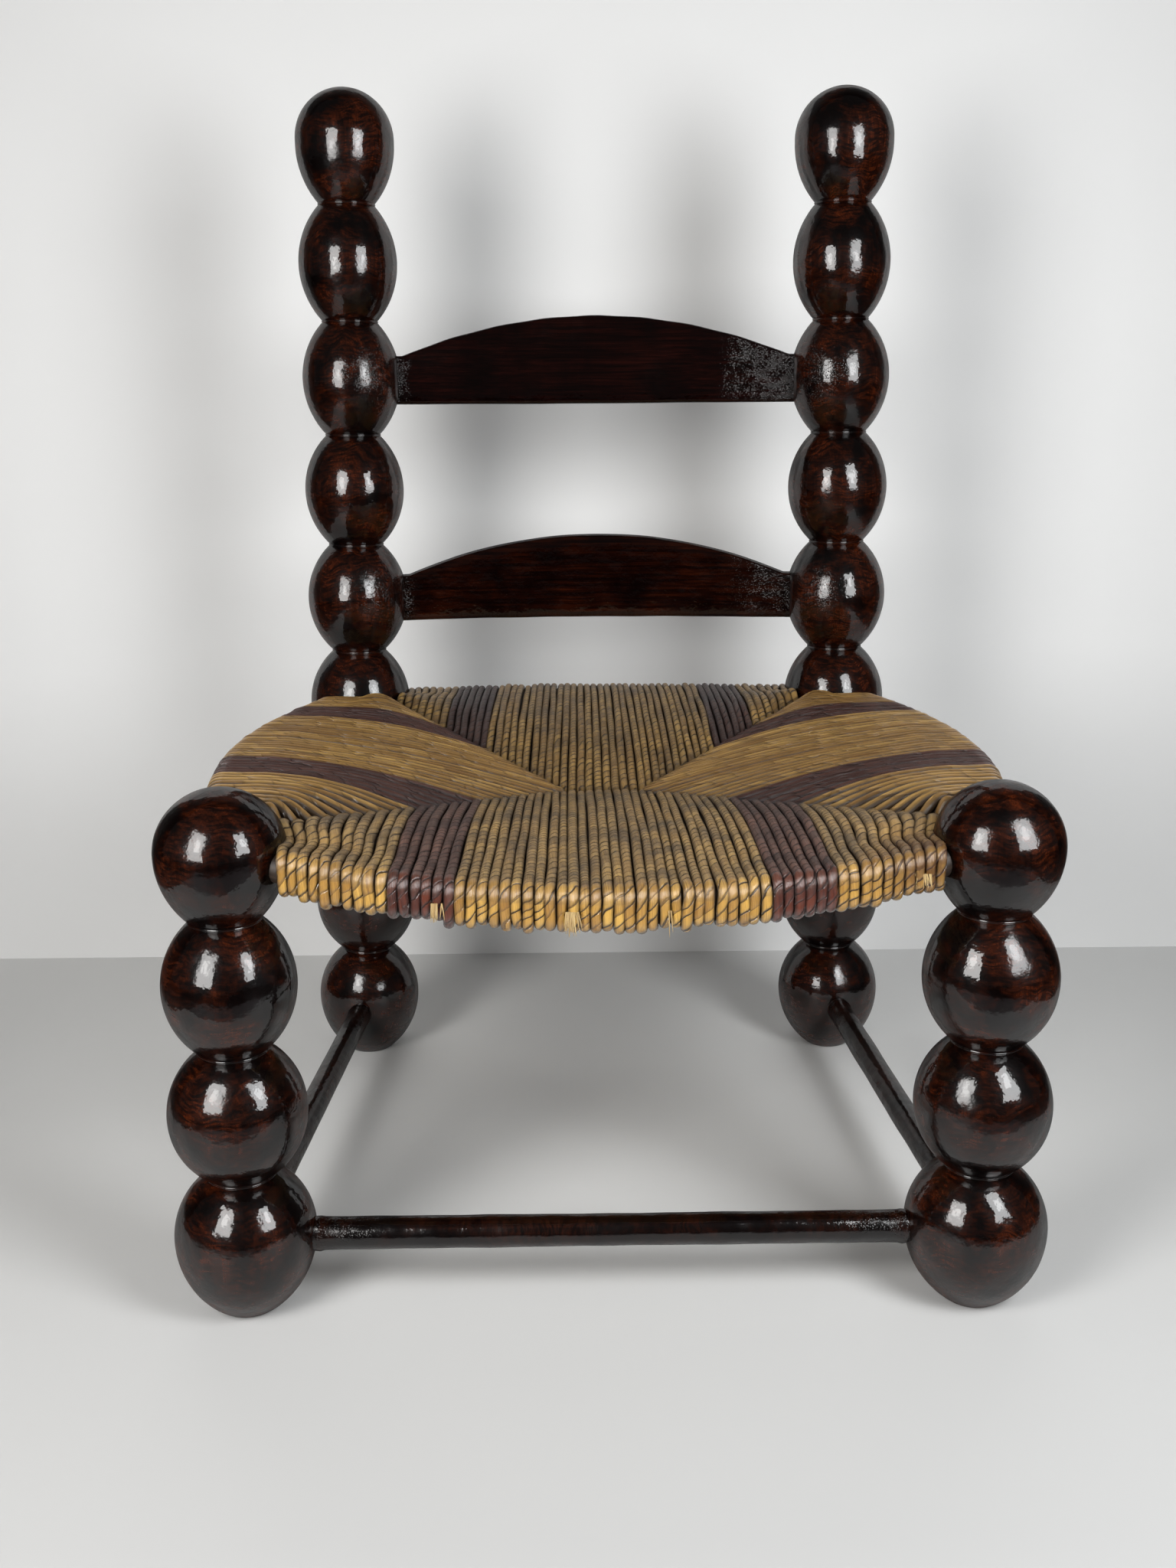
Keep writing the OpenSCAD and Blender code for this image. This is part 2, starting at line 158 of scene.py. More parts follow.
def addNode(tree, kind, inputs=None, **settings):
    node = tree.nodes.new(kind)
    for key, value in settings.items():
        setattr(node, key, value)
    return setInputs(tree, node, inputs or {})


def newGroup(name, inputs, outputs):
    # inputs: names with their default vectors or numbers; every output is a number
    tree = bpy.data.node_groups.new(name, "ShaderNodeTree")
    for label, value in inputs.items():
        kind = "NodeSocketVector" if isinstance(value, tuple) else "NodeSocketFloat"
        tree.interface.new_socket(name=label, in_out="INPUT", socket_type=kind).default_value = value
    for label in outputs:
        tree.interface.new_socket(name=label, in_out="OUTPUT", socket_type="NodeSocketFloat")
    return tree, tree.nodes.new("NodeGroupInput").outputs, tree.nodes.new("NodeGroupOutput")


def useGroup(tree, group, inputs):
    return addNode(tree, "ShaderNodeGroup", inputs, node_tree=group).outputs


def maths(tree, operation, a, b=0.0, c=0.0):
    return addNode(tree, "ShaderNodeMath", {0: a, 1: b, 2: c}, operation=operation).outputs[0]


def times(tree, a, b):
    return maths(tree, "MULTIPLY", a, b)


def between(tree, share, low, high):
    return maths(tree, "MULTIPLY_ADD", share, high - low, low)


def vectors(tree, operation, a, b=(0.0, 0.0, 0.0), c=(0.0, 0.0, 0.0), output="Vector"):
    return addNode(tree, "ShaderNodeVectorMath", {0: a, 1: b, 2: c}, operation=operation).outputs[output]


def noiseOf(tree, place, scale, detail, roughness=0.5, output="Fac"):
    inputs = {"Vector": place, "Scale": scale, "Detail": detail, "Roughness": roughness}
    return addNode(tree, "ShaderNodeTexNoise", inputs).outputs[output]


def rampOf(tree, value, stops):
    # stops: places in rising order, each with a grey
    node = addNode(tree, "ShaderNodeValToRGB", {"Fac": value})
    elements = node.color_ramp.elements
    while len(elements) < len(stops):
        elements.new(0.5)
    for element, (place, grey) in zip(elements, stops):
        element.position = place
        element.color = (grey, grey, grey, 1.0)
    return node.outputs["Color"]


def mixColour(tree, amount, a, b, blend="MIX"):
    full = lambda colour: colour if isinstance(colour, bpy.types.NodeSocket) else (*colour, 1.0)
    inputs = {0: amount, 6: full(a), 7: full(b)}
    return addNode(tree, "ShaderNodeMix", inputs, data_type="RGBA", blend_type=blend).outputs[2]


def readMask(tree, key):
    return addNode(tree, "ShaderNodeAttribute", attribute_name=key).outputs["Fac"]


def addBump(tree, shader, height, strength, distance):
    # one bump both under the coat and on it
    inputs = {"Height": height, "Strength": strength, "Distance": distance}
    normal = addNode(tree, "ShaderNodeBump", inputs).outputs[0]
    setInputs(tree, shader, {"Normal": normal, "Coat Normal": normal})


def newMaterial(name):
    material = bpy.data.materials.new(name)
    material.use_nodes = True
    tree = material.node_tree
    return material, tree, tree.nodes["Principled BSDF"]


def objectPlace(tree):
    return addNode(tree, "ShaderNodeTexCoord").outputs["Object"]


def woodGrain():
    # growth rings: the distance from a pith, in a space squeezed along the grain and bent by noise. The
    # figure: strokes swayed by a coarser noise
    tree, given, sink = newGroup(
        "woodGrain",
        {"Place": (0, 0, 0), "Pith": (0.05, 0.03, 0.0), "Rings": 260.0, "Waver": 0.012,
         "Along": (1.0, 1.0, 0.12), "Strokes": (140.0, 140.0, 620.0), "Sway": 0.016},
        ("Ring", "Fibre", "Cloud", "Figure"))
    place = given["Place"]
    stretched = vectors(tree, "MULTIPLY", place, given["Along"])
    bend = vectors(tree, "SUBTRACT", noiseOf(tree, stretched, 18.0, 2.0, output="Color"), (0.5, 0.5, 0.5))
    moved = vectors(tree, "MULTIPLY_ADD", bend, given["Waver"], stretched)
    distance = vectors(tree, "DISTANCE", moved, given["Pith"], output="Value")
    saw = maths(tree, "FRACT", times(tree, distance, given["Rings"]))
    drift = noiseOf(tree, place, 45.0, 1.0, output="Color")
    swayed = vectors(tree, "MULTIPLY_ADD", drift, given["Sway"], place)
    setInputs(tree, sink, {
        "Ring": rampOf(tree, saw, [(0.0, 0.15), (0.62, 0.45), (0.9, 1.0), (1.0, 0.15)]),
        "Fibre": noiseOf(tree, vectors(tree, "MULTIPLY", stretched, (900.0, 900.0, 90.0)), 1.0, 3.0),
        "Cloud": noiseOf(tree, place, 30.0, 3.0, 0.6),
        "Figure": noiseOf(tree, vectors(tree, "MULTIPLY", swayed, given["Strokes"]), 1.0, 3.0, 0.55),
    })
    return tree


def lacquerSkin():
    # height of the lacquer: broad ripples, an orange peel and pits where a mask is high
    tree, given, sink = newGroup(
        "lacquerSkin", {"Place": (0, 0, 0), "Pits": 0.0, "Ripple": 1.0}, ("Height", "Dull"))
    place = given["Place"]
    smooth = maths(tree, "MULTIPLY_ADD", noiseOf(tree, place, 420.0, 1.0), 0.15,
                   times(tree, noiseOf(tree, place, 70.0, 1.5), given["Ripple"]))
    grit = addNode(tree, "ShaderNodeTexVoronoi", {"Vector": place, "Scale": 950.0}).outputs["Distance"]
    pitted = times(tree, rampOf(tree, grit, [(0.0, 1.0), (0.45, 0.0)]), given["Pits"])
    setInputs(tree, sink, {
        "Height": maths(tree, "MULTIPLY_ADD", pitted, -0.5, smooth),
        "Dull": rampOf(tree, noiseOf(tree, place, 34.0, 4.0, 0.65), [(0.42, 0.0), (0.68, 1.0)]),
    })
    return tree


woodGroup = woodGrain()
skinGroup = lacquerSkin()


def lacqueredWood(name, s):
    # stained dark wood under a thick gloss coat: colour from the grain, coat rippled and pitted
    material, tree, shader = newMaterial(name)
    place = objectPlace(tree)
    mapping = {"Vector": place, "Location": s["move"], "Rotation": s["turn"]}
    moved = addNode(tree, "ShaderNodeMapping", mapping).outputs[0]
    settings = {key.capitalize(): s[key] for key in ("pith", "rings", "waver", "along", "strokes", "sway")}
    grain = useGroup(tree, woodGroup, dict(settings, Place=moved))
    spots = rampOf(tree, noiseOf(tree, place, 110.0, 6.0, 0.85), [(0.44, 0.0), (0.58, 1.0)])
    pits = times(tree, readMask(tree, "pits"), spots)
    skin = useGroup(tree, skinGroup, {"Place": place, "Ripple": s["ripple"], "Pits": pits})
    figure = rampOf(tree, grain["Figure"], [(0.40, 0.12), (0.62, 1.0)])
    ring = between(tree, grain["Ring"], 1.0 - s["ringShare"], 1.0)
    red = mixColour(tree, times(tree, ring, figure), s["dark"], s["warm"])
    clouds = rampOf(tree, grain["Cloud"], [(s["clouds"][0], 0.0), (s["clouds"][1], 1.0)])
    glow = mixColour(tree, clouds, s["dark"], red)
    fibre = rampOf(tree, grain["Fibre"], [(0.35, 0.6), (0.7, 1.2)])
    coatRough = between(tree, skin["Dull"], *s["coatRoughness"])
    facing = addNode(tree, "ShaderNodeLayerWeight", {"Blend": 0.5}).outputs["Facing"]
    setInputs(tree, shader, {
        "Base Color": mixColour(tree, 1.0, glow, fibre, "MULTIPLY"),
        "Roughness": between(tree, skin["Dull"], *s["gloss"]),
        "Specular IOR Level": s["underGloss"],
        "Coat Weight": rampOf(tree, facing, [(0.42, 1.0), (0.9, s["edgeCoat"])]),
        "Coat IOR": s["coatIor"],
        "Coat Roughness": maths(tree, "MULTIPLY_ADD", pits, s["pitRoughness"], coatRough),
    })
    addBump(tree, shader, skin["Height"], s["bump"], 0.001)
    return material


postWoodLook = {
    "move": (0.0, 0.0, 0.0), "turn": (0.0, 0.0, 0.0), "pith": (0.05, 0.06, 0.0), "rings": 240.0,
    "waver": 0.010, "along": (1.0, 1.0, 0.05), "strokes": (140.0, 140.0, 620.0), "sway": 0.016, "ripple": 1.0,
    "dark": (0.0016, 0.0005, 0.0004), "warm": (0.054, 0.0098, 0.0022), "ringShare": 0.45,
    "clouds": (0.40, 0.60), "gloss": (0.35, 0.5), "underGloss": 0.04, "edgeCoat": 0.15, "coatIor": 1.5,
    "coatRoughness": (0.06, 0.18), "pitRoughness": 0.1, "bump": 0.6,
}
slatWoodLook = dict(
    postWoodLook, turn=(0.0, math.pi / 2, 0.0), pith=(-0.4, 0.0, 0.0), rings=170.0,
    dark=(0.0022, 0.0005, 0.0004), underGloss=0.0, coatRoughness=(0.04, 0.12), clouds=(0.3, 0.66),
    strokes=(420.0, 90.0, 14.0), sway=0.003, pitRoughness=0.24)
rodWoodLook = dict(
    postWoodLook, turn=(0.0, math.pi / 2, 0.0), pith=(0.0, 0.02, 0.0), ripple=1.6,
    warm=(0.024, 0.0055, 0.0022))
print("materials started")


posts = {
    "foot": 0.047, "footFlat": 0.017, "footRound": (0.0012, 0.0008), "footRows": 6, "neck": 0.0205,
    "collar": 0.0016, "collarProud": 0.0003, "columns": 144, "ballRows": 44,
    # the collar's bead: shares of its height and of how far it stands out
    "beadUp": (0.12, 0.3, 0.7, 0.88), "beadOut": (-0.8, 1.0, 1.0, -0.8),
    # a ball's dents, by two and by three waves that lag by up to a turn, and how much its size varies
    "dents": (0.00022, 0.00012), "swell": 0.00035, "lag": 6.28,
}
backBalls = {"count": 9, "pitch": 0.0815, "head": 0.03525, "growth": 0.0006, "stretch": 0.003, "span": 0.380,
             "y": 0.19250, "lean": math.radians(0.8), "holders": (3, 5)}
frontBalls = {"count": 4, "pitch": 0.078, "head": 0.0365, "growth": 0.0016, "stretch": 0.0, "span": 0.432,
              "y": -0.17950, "lean": 0.0, "holders": ()}
planedFlats = {"face": 0.0025, "halfWide": 0.0115, "below": 0.024, "above": 0.021,
               "pitted": 0.03, "pits": 0.8}


def ballMiddle(b, ball):
    return posts["foot"] + (b["count"] - ball) * b["pitch"]


def ballRadius(b, ball):
    return b["head"] + (ball - 1) * b["growth"]


def backAxis(z):
    return backBalls["span"] / 2 - z * math.tan(backBalls["lean"])


def arcRadius(z, r, half, end):
    # radius of a ball at height z from its middle: an arc of a circle from r to end at +-half
    rise = r - end
    arc = (rise * rise + half * half) / (2 * rise)
    return r - arc + np.sqrt(np.maximum(arc * arc - z * z, 0.0))


def postProfile(b):
    # heights, radii and ball numbers from the foot's middle up over every ball to the head's top
    half = (b["pitch"] - posts["collar"]) / 2
    rows, count, neck, flat = posts["ballRows"], b["count"], posts["neck"], posts["footFlat"]
    soleIn, soleUp = posts["footRound"]
    parts = [(np.zeros(posts["footRows"]), np.linspace(0.0, flat - soleIn, posts["footRows"]), count)]
    for ball in range(count, 0, -1):
        middle, radius = ballMiddle(b, ball), ballRadius(b, ball)
        low, reach, end = -half, half, neck
        if ball == count:
            low, reach, end = soleUp - posts["foot"], posts["foot"], flat
        bottom = np.linspace(low, 0.0, rows // 2, endpoint=False)
        parts.append((middle + bottom, arcRadius(bottom, radius, reach, end), ball))
        if ball > 1:
            top = np.linspace(0.0, half, rows // 2)
            parts.append((middle + top, arcRadius(top, radius, half, neck), ball))
            bead = neck + posts["collarProud"] * np.array(posts["beadOut"])
            parts.append((middle + half + np.array(posts["beadUp"]) * posts["collar"], bead, ball))
        else:
            angle = np.linspace(0.0, np.pi / 2, rows)
            parts.append((middle + (b["stretch"] + radius * np.sin(angle)), radius * np.cos(angle), ball))
    balls = [np.full(len(heights), ball) for heights, _, ball in parts]
    return np.concatenate([p[0] for p in parts]), np.concatenate([p[1] for p in parts]), np.concatenate(balls)


def turnedPost(name, b, side, seed):
    # the profile turned about the post's axis; each ball a little out of round, the whole leant inwards,
    # and the balls that hold a slat cut back to a flat on the chair's inner side
    rng = np.random.default_rng(seed)
    z, r, ball = postProfile(b)
    angle = roundAngles(posts["columns"])
    offset = rng.random((b["count"] + 1, 4))[ball]
    lag = posts["lag"] * offset
    dent = (posts["dents"][0] * np.sin(2 * angle + lag[:, :1])
            + posts["dents"][1] * np.sin(3 * angle + lag[:, 1:2]))
    swell = posts["swell"] * (offset[:, 2:3] - 0.5)
    fullness = np.clip((r - posts["neck"]) / (b["head"] - posts["neck"]), 0.0, 1.0)[:, None]
    radius = r[:, None] + (dent + swell) * fullness
    x, y, up = radius * np.cos(angle), radius * np.sin(angle), z[:, None]
    foot, lean = b["span"] / 2, b["lean"]
    # turned by the lean about the foot, towards the chair's middle
    px = side * foot + x * math.cos(lean) - side * up * math.sin(lean)
    pz = np.maximum(up * math.cos(lean) + side * x * math.sin(lean), 0.0)
    pits = np.zeros_like(px)
    for holder in b["holders"]:
        middle = ballMiddle(b, holder)
        face = backAxis(middle) - ballRadius(b, holder) + planedFlats["face"]
        inFlat = ((np.abs(y) < planedFlats["halfWide"])
                  & (pz > middle - planedFlats["below"]) & (pz < middle + planedFlats["above"]))
        inward = side * px
        px = np.where(inFlat & (inward < face), side * face, px)
        near = (np.exp(-((pz - middle) / planedFlats["pitted"]) ** 2)
                * np.clip((foot - inward) / planedFlats["pitted"], 0, 1))
        pits = np.maximum(pits, near * planedFlats["pits"])
    return turnedMesh(name, np.stack([px, b["y"] + y, pz], -1), pits)


def makePosts():
    seed = 11
    for row, b in (("back", backBalls), ("front", frontBalls)):
        for side, word in ((-1, "left"), (1, "right")):
            # the grain starts beside the axis and at another height on each post
            look = dict(postWoodLook, move=(side * (0.01 - b["span"] / 2), -b["y"], 0.013 * seed))
            wood = lacqueredWood(f"{row}PostWood_{word}", look)
            mesh = turnedPost(f"{row}Post_{word}", b, side, seed)
            addPiece(f"{row}Post_{word}", mesh, wood, [f"{row}_post_{word}"])
            seed += 1
    print("posts turned")


makePosts()


slats = {
    "names": ("upper", "lower"), "thick": 0.013, "below": 0.019, "shoulder": 0.016, "crest": 0.045,
    "archHalf": 0.145, "bow": 0.020, "socket": 0.016, "edge": 0.0028, "columns": 160, "faceRows": 8,
    "topWaver": 0.0004, "bottomWaver": 0.0003, "warmth": ((0.013, 0.0020, 0.0012), (0.026, 0.0048, 0.0014)),
    # the crackled lacquer: its share on each slat, and where it starts and how far it grows at the right end,
    # and in the strip at the left one
    "crackled": (1.0, 0.5), "crackleRight": (0.088, 0.04), "crackleLeft": (0.138, 0.008),
}


def slatMesh(name, ball, share, seed):
    # a rounded upright section carried along a level arc; its upper edge is a circle's arc between two
    # shoulders
    rng = np.random.default_rng(seed)
    s = slats
    middle = ballMiddle(backBalls, ball)
    axis = backAxis(middle)
    half = axis - ballRadius(backBalls, ball) + s["socket"]
    x = np.linspace(-half, half, s["columns"])
    arc = (axis * axis + s["bow"] ** 2) / (2 * s["bow"])
    y = backBalls["y"] + s["bow"] - arc + np.sqrt(arc * arc - x * x)
    rise = s["crest"] - s["shoulder"]
    crown = (rise * rise + s["archHalf"] ** 2) / (2 * rise)
    top = s["crest"] - crown + np.sqrt(np.maximum(crown * crown - x * x, 0.0))
    top = np.where(np.abs(x) < s["archHalf"], top, s["shoulder"])
    top = np.maximum(top, s["shoulder"]) + s["topWaver"] * smoothNoise(rng, 1, len(x), (2, 5, 9))[0]
    bottom = -s["below"] + s["bottomWaver"] * smoothNoise(rng, 1, len(x), (1, 4, 7))[0]
    # section: four rounded corners joined by straight sides, walked round once, with extra rows on the two
    # long faces so that it stays even
    corner = np.linspace(0, np.pi / 2, 7)
    edge, inner = s["edge"], s["thick"] / 2 - s["edge"]
    rounded, risen = edge * np.cos(corner), edge * np.sin(corner)
    across = np.concatenate([inner + rounded, -inner - risen, -inner - rounded, inner + risen])
    lift = np.concatenate([risen - edge, rounded - edge, edge - risen, edge - rounded])
    upper = np.repeat([1.0, 0.0], 14)
    face = np.linspace(0, 1, s["faceRows"] + 2)[1:-1]
    around = np.concatenate([np.arange(14), 13 + face, np.arange(14, 28), 27 + face])
    walk = lambda values: np.interp(around, np.arange(29), np.append(values, values[0]))
    height = walk(upper) * top[:, None] + (1 - walk(upper)) * bottom[:, None] + walk(lift)
    turn = (x / arc)[:, None]
    points = np.stack([x[:, None] + walk(across) * turn, y[:, None] + walk(across) * np.sqrt(1 - turn ** 2),
                       middle + height], -1)
    (right, rightGrows), (left, leftGrows) = s["crackleRight"], s["crackleLeft"]
    crackle = np.clip((x - right) / rightGrows, 0, 1) + np.clip((-left - x) / leftGrows, 0, 1)
    return turnedMesh(name, points, share * crackle[:, None])


def makeSlats():
    for number, (ball, word) in enumerate(zip(backBalls["holders"], slats["names"])):
        look = dict(slatWoodLook, move=(0.0, -backBalls["y"], 0.3 * number), warm=slats["warmth"][number])
        mesh = slatMesh(f"{word}Slat", ball, slats["crackled"][number], 30 + number)
        addPiece(f"{word}Slat", mesh, lacqueredWood(f"{word}SlatWood", look), [f"{word}_slat"])
    print("slats bent")


makeSlats()


stretchers = {
    "frontD": 0.019, "sideD": 0.018, "frontBelow": 0.002, "sideBelow": 0.004, "socket": 0.015, "columns": 40,
    "rows": 150, "waver": 0.00025, "oval": 0.0002, "pitted": 0.05,
    # the bead of lacquer at each end: its height, its distance from the ball and its length
    "bead": 0.0009, "beadAt": 0.002, "beadLong": 0.0018,
}


def rodMesh(name, start, end, diameter, seed):
    # a round rod, its radius wavering along and round it, with beads of lacquer near both ends
    rng = np.random.default_rng(seed)
    s = stretchers
    t = np.linspace(0, 1, s["rows"])[:, None]
    angle = roundAngles(s["columns"])
    length = np.linalg.norm(end - start)
    run = (end - start) / length
    side = np.cross([0, 0, 1.0], run)
    up = np.cross(run, side)
    radius = diameter / 2 + s["waver"] * smoothNoise(rng, 1, s["rows"], (1, 3, 6, 11)).T
    radius = radius + s["oval"] * np.sin(2 * angle + 4 * t)
    fromEnd = np.minimum(t, 1 - t) * length - s["socket"]
    bead = s["bead"] * np.exp(-((fromEnd - s["beadAt"]) / s["beadLong"]) ** 2)
    radius = radius + bead * (0.6 + 0.4 * np.sin(3 * angle + rng.random() * 6))
    spokes = np.cos(angle)[:, None] * side + np.sin(angle)[:, None] * up
    points = start + t[..., None] * (end - start) + radius[..., None] * spokes
    return turnedMesh(name, points, np.clip(1 - fromEnd / s["pitted"], 0.1, 0.7))


def makeStretchers():
    s = stretchers
    frontR = ballRadius(frontBalls, frontBalls["count"])
    backR = ballRadius(backBalls, backBalls["count"])
    reach = frontBalls["span"] / 2 - frontR + s["socket"]
    ends = [np.array([x, frontBalls["y"], posts["foot"] - s["frontBelow"]]) for x in (-reach, reach)]
    wood = lacqueredWood("frontStretcherWood", rodWoodLook)
    mesh = rodMesh("frontStretcher", *ends, s["frontD"], 51)
    addPiece("frontStretcher", mesh, wood, ["front_stretcher"])
    z = posts["foot"] - s["sideBelow"]
    for side, word in ((-1, "left"), (1, "right")):
        front = np.array([side * frontBalls["span"] / 2, frontBalls["y"], z])
        back = np.array([side * backAxis(z), backBalls["y"], z])
        run = (back - front) / np.linalg.norm(back - front)
        look = dict(rodWoodLook, turn=(math.pi / 2, 0.0, 0.0), move=(0.1 * side, 0.0, 0.0))
        wood = lacqueredWood(f"sideStretcherWood_{word}", look)
        mesh = rodMesh(f"sideStretcher_{word}", front + run * (frontR - s["socket"]),
                       back - run * (backR - s["socket"]), s["sideD"], 53 + side)
        addPiece(f"sideStretcher_{word}", mesh, wood, [f"side_stretcher_{word}"])
    print("stretchers made")


makeStretchers()


seat = {
    "railR": 0.0085, "rush": 0.005, "corner": 0.009, "bows": (0.044, 0.043, 0.020, 0.043),
    # how far the front and the back ends of the side rails stand beside the posts' axes
    "frontShift": (0.013, 0.0, 0.006), "backShift": (0.005, 0.0, 0.003), "clear": 0.0003,
    "drops": (math.radians(26), 0.0, 0.0, 0.0), "frontZ": 0.281, "backZ": 0.2855, "ball": 6, "ballR": 0.03825,
    "seamHalf": 0.024, "seamDepth": 0.190, "seamTop": 0.266, "seamThick": 0.017, "crown": 0.0045,
    # how far the inner corners sink, and how turns crowd on each side's rail and each corner's diagonal
    "dip": 0.0025, "crowding": (0.0, 0.25, 0.0, -0.25), "diagonalCrowding": (0.2, 0.2, 0.0, 0.0),
    "frontTurns": 26, "backTurns": 24, "seamTurns": 8, "natural": (10, 10, 7, 7), "dyed": 6,
}
cords = {
    "sides": 12, "thickTop": 0.0027, "thickRim": 0.0025, "extraThick": (0.0, 0.0004, 0.0, 0.0004),
    # rings on the stem inside the seat, the dive into it, the field, each bend, the rim's face and below
    "stemRings": 3, "diveRings": 6, "topRings": 53, "bendRings": 12, "faceRings": 10, "underRings": 21,
    "dive": 0.0042, "stem": (-0.007, -0.001), "innerGap": 0.0008, "underGap": 0.004, "innerHalf": 0.0022,
    "wander": (0.0006, 0.0003, 0.0006, 0.0003), "swell": (0.07, 0.04, 0.07, 0.04),
    "ripple": (0.0003, 0.00012, 0.0003, 0.00012), "groove": 0.035, "loop": 0.0009,
    # per side: how far its first and last cord stand inside the two balls' reach, and how far they may move
    # further in where a ball grows narrow
    "hug": ((0.0005, 0.0005), (0.002, -0.001), (-0.001, -0.001), (-0.001, 0.002)),
    "wedge": (0.0028, 0.0045, 0.0045, 0.0045),
    # per corner: the inner corner's share of the ball's reach, and the number of cords that close up to it
    "cornerShare": (0.78, 0.78, 0.92, 0.92), "hugging": (10, 10, 7, 7),
    # per side: the length that a wrap takes to go round, how unevenly the cords lie in height, their width as
    # a share of the room, and the sines between which a cord's flank goes from shadow to full light
    "lay": (0.0135, 0.050, 0.0135, 0.050), "uneven": (0.0003, 0.0002, 0.0003, 0.0002),
    "wide": (1.02, 0.95, 1.02, 0.95),
    "flankFrom": (0.25, 0.76, 0.3, 0.76), "flankTo": (0.88, 0.985, 0.9, 0.985), "shadeLong": 0.008,
}
sideNames = ("front", "right", "back", "left")
frontX, backX = frontBalls["span"] / 2, backAxis(seat["backZ"])
seatCorners = np.array([
    [-frontX, frontBalls["y"], seat["frontZ"]], [frontX, frontBalls["y"], seat["frontZ"]],
    [backX, backBalls["y"], seat["backZ"]], [-backX, backBalls["y"], seat["backZ"]],
])
still, flip = np.zeros(3), np.array([-1.0, 1.0, 1.0])
startShift = np.array([still, seat["frontShift"] * flip, still, seat["backShift"]])
stopShift = np.array([still, seat["backShift"] * flip, still, seat["frontShift"]])
postR = np.repeat([frontBalls["head"], seat["ballR"]], 2) + seat["clear"]
inward = np.array([[1, 1], [-1, 1], [-1, -1], [1, -1]])
innerCorners = seatCorners[:, :2] + inward * (postR * cords["cornerShare"])[:, None]
diagonalCrowding = np.array(seat["diagonalCrowding"])
seamY = frontBalls["y"] + seat["seamDepth"]
seamEnds = np.array([[-seat["seamHalf"], seamY], [seat["seamHalf"], seamY]])
firstSeam = (0, 1, 1, 0)
lastSeam = (1, 1, 0, 0)
fore, aft, mid = seat["frontTurns"], seat["backTurns"], seat["seamTurns"]
turnCounts = ((fore, mid, fore), (fore, 0, aft), (aft, mid, aft), (aft, 0, fore))


def turnLines(side, turn):
    # for turns counted from the first post: the rim's point on the rail's arc, the inner end on the diagonals
    # and the seam, and the heights of the seat's upper and lower side there
    first, middle, last = turnCounts[side]
    count = first + middle + last
    after = (side + 1) % 4
    a = seatCorners[side] + startShift[side]
    b = seatCorners[after] + stopShift[side]
    chord = b - a
    span = np.linalg.norm(chord)
    gapA, gapB = postR[[side, after]] - cords["hug"][side]
    part = turn / count
    part = part + seat["crowding"][side] * part * (1 - part)
    x = gapA - span / 2 + (span - gapA - gapB) * part
    bow = seat["bows"][side]
    arc = (span * span / 4 + bow * bow) / (2 * bow)
    off = np.sqrt(arc * arc - x * x) - arc + bow
    out = np.array([chord[1], -chord[0], 0.0]) / np.hypot(chord[0], chord[1])
    drop = seat["drops"][side]
    rim = (a + b) / 2 + x[:, None] * (chord / span) + (off * math.cos(drop))[:, None] * out
    rim[:, 2] -= off * math.sin(drop)
    nearer = np.where(turn <= first, side, after)
    t = np.minimum(1.0, np.minimum(turn / first, (count - turn) / last))
    along = t + diagonalCrowding[nearer] * t * (1 - t)
    t = along[:, None]
    seamA, seamB = seamEnds[firstSeam[side]], seamEnds[lastSeam[side]]
    start = innerCorners[side] + (seamA - innerCorners[side]) * t
    stop = innerCorners[after] + (seamB - innerCorners[after]) * t
    seam = seamA + (seamB - seamA) * np.clip((turn - first) / max(middle, 1), 0, 1)[:, None]
    afterSeam = np.where((turn >= first + middle)[:, None], stop, seam)
    inner = np.where((turn <= first)[:, None], start, afterSeam)
    cornerHalf = seat["railR"] + seat["rush"] - seat["dip"]
    topZ = (seatCorners[nearer, 2] + cornerHalf) * (1 - along) + seat["seamTop"] * along
    lowZ = (seatCorners[nearer, 2] - cornerHalf) * (1 - along) + (seat["seamTop"] - seat["seamThick"]) * along
    return rim, inner, topZ, lowZ


def cornerArc(cx, cz, r, fromDeg, toDeg, count):
    # a quarter turn about (cx, cz): cx + r cos, cz + r sin
    angle = np.radians(np.linspace(fromDeg, toDeg, count))[None, :]
    return cx[:, None] + r * np.cos(angle), cz[:, None] + r * np.sin(angle)


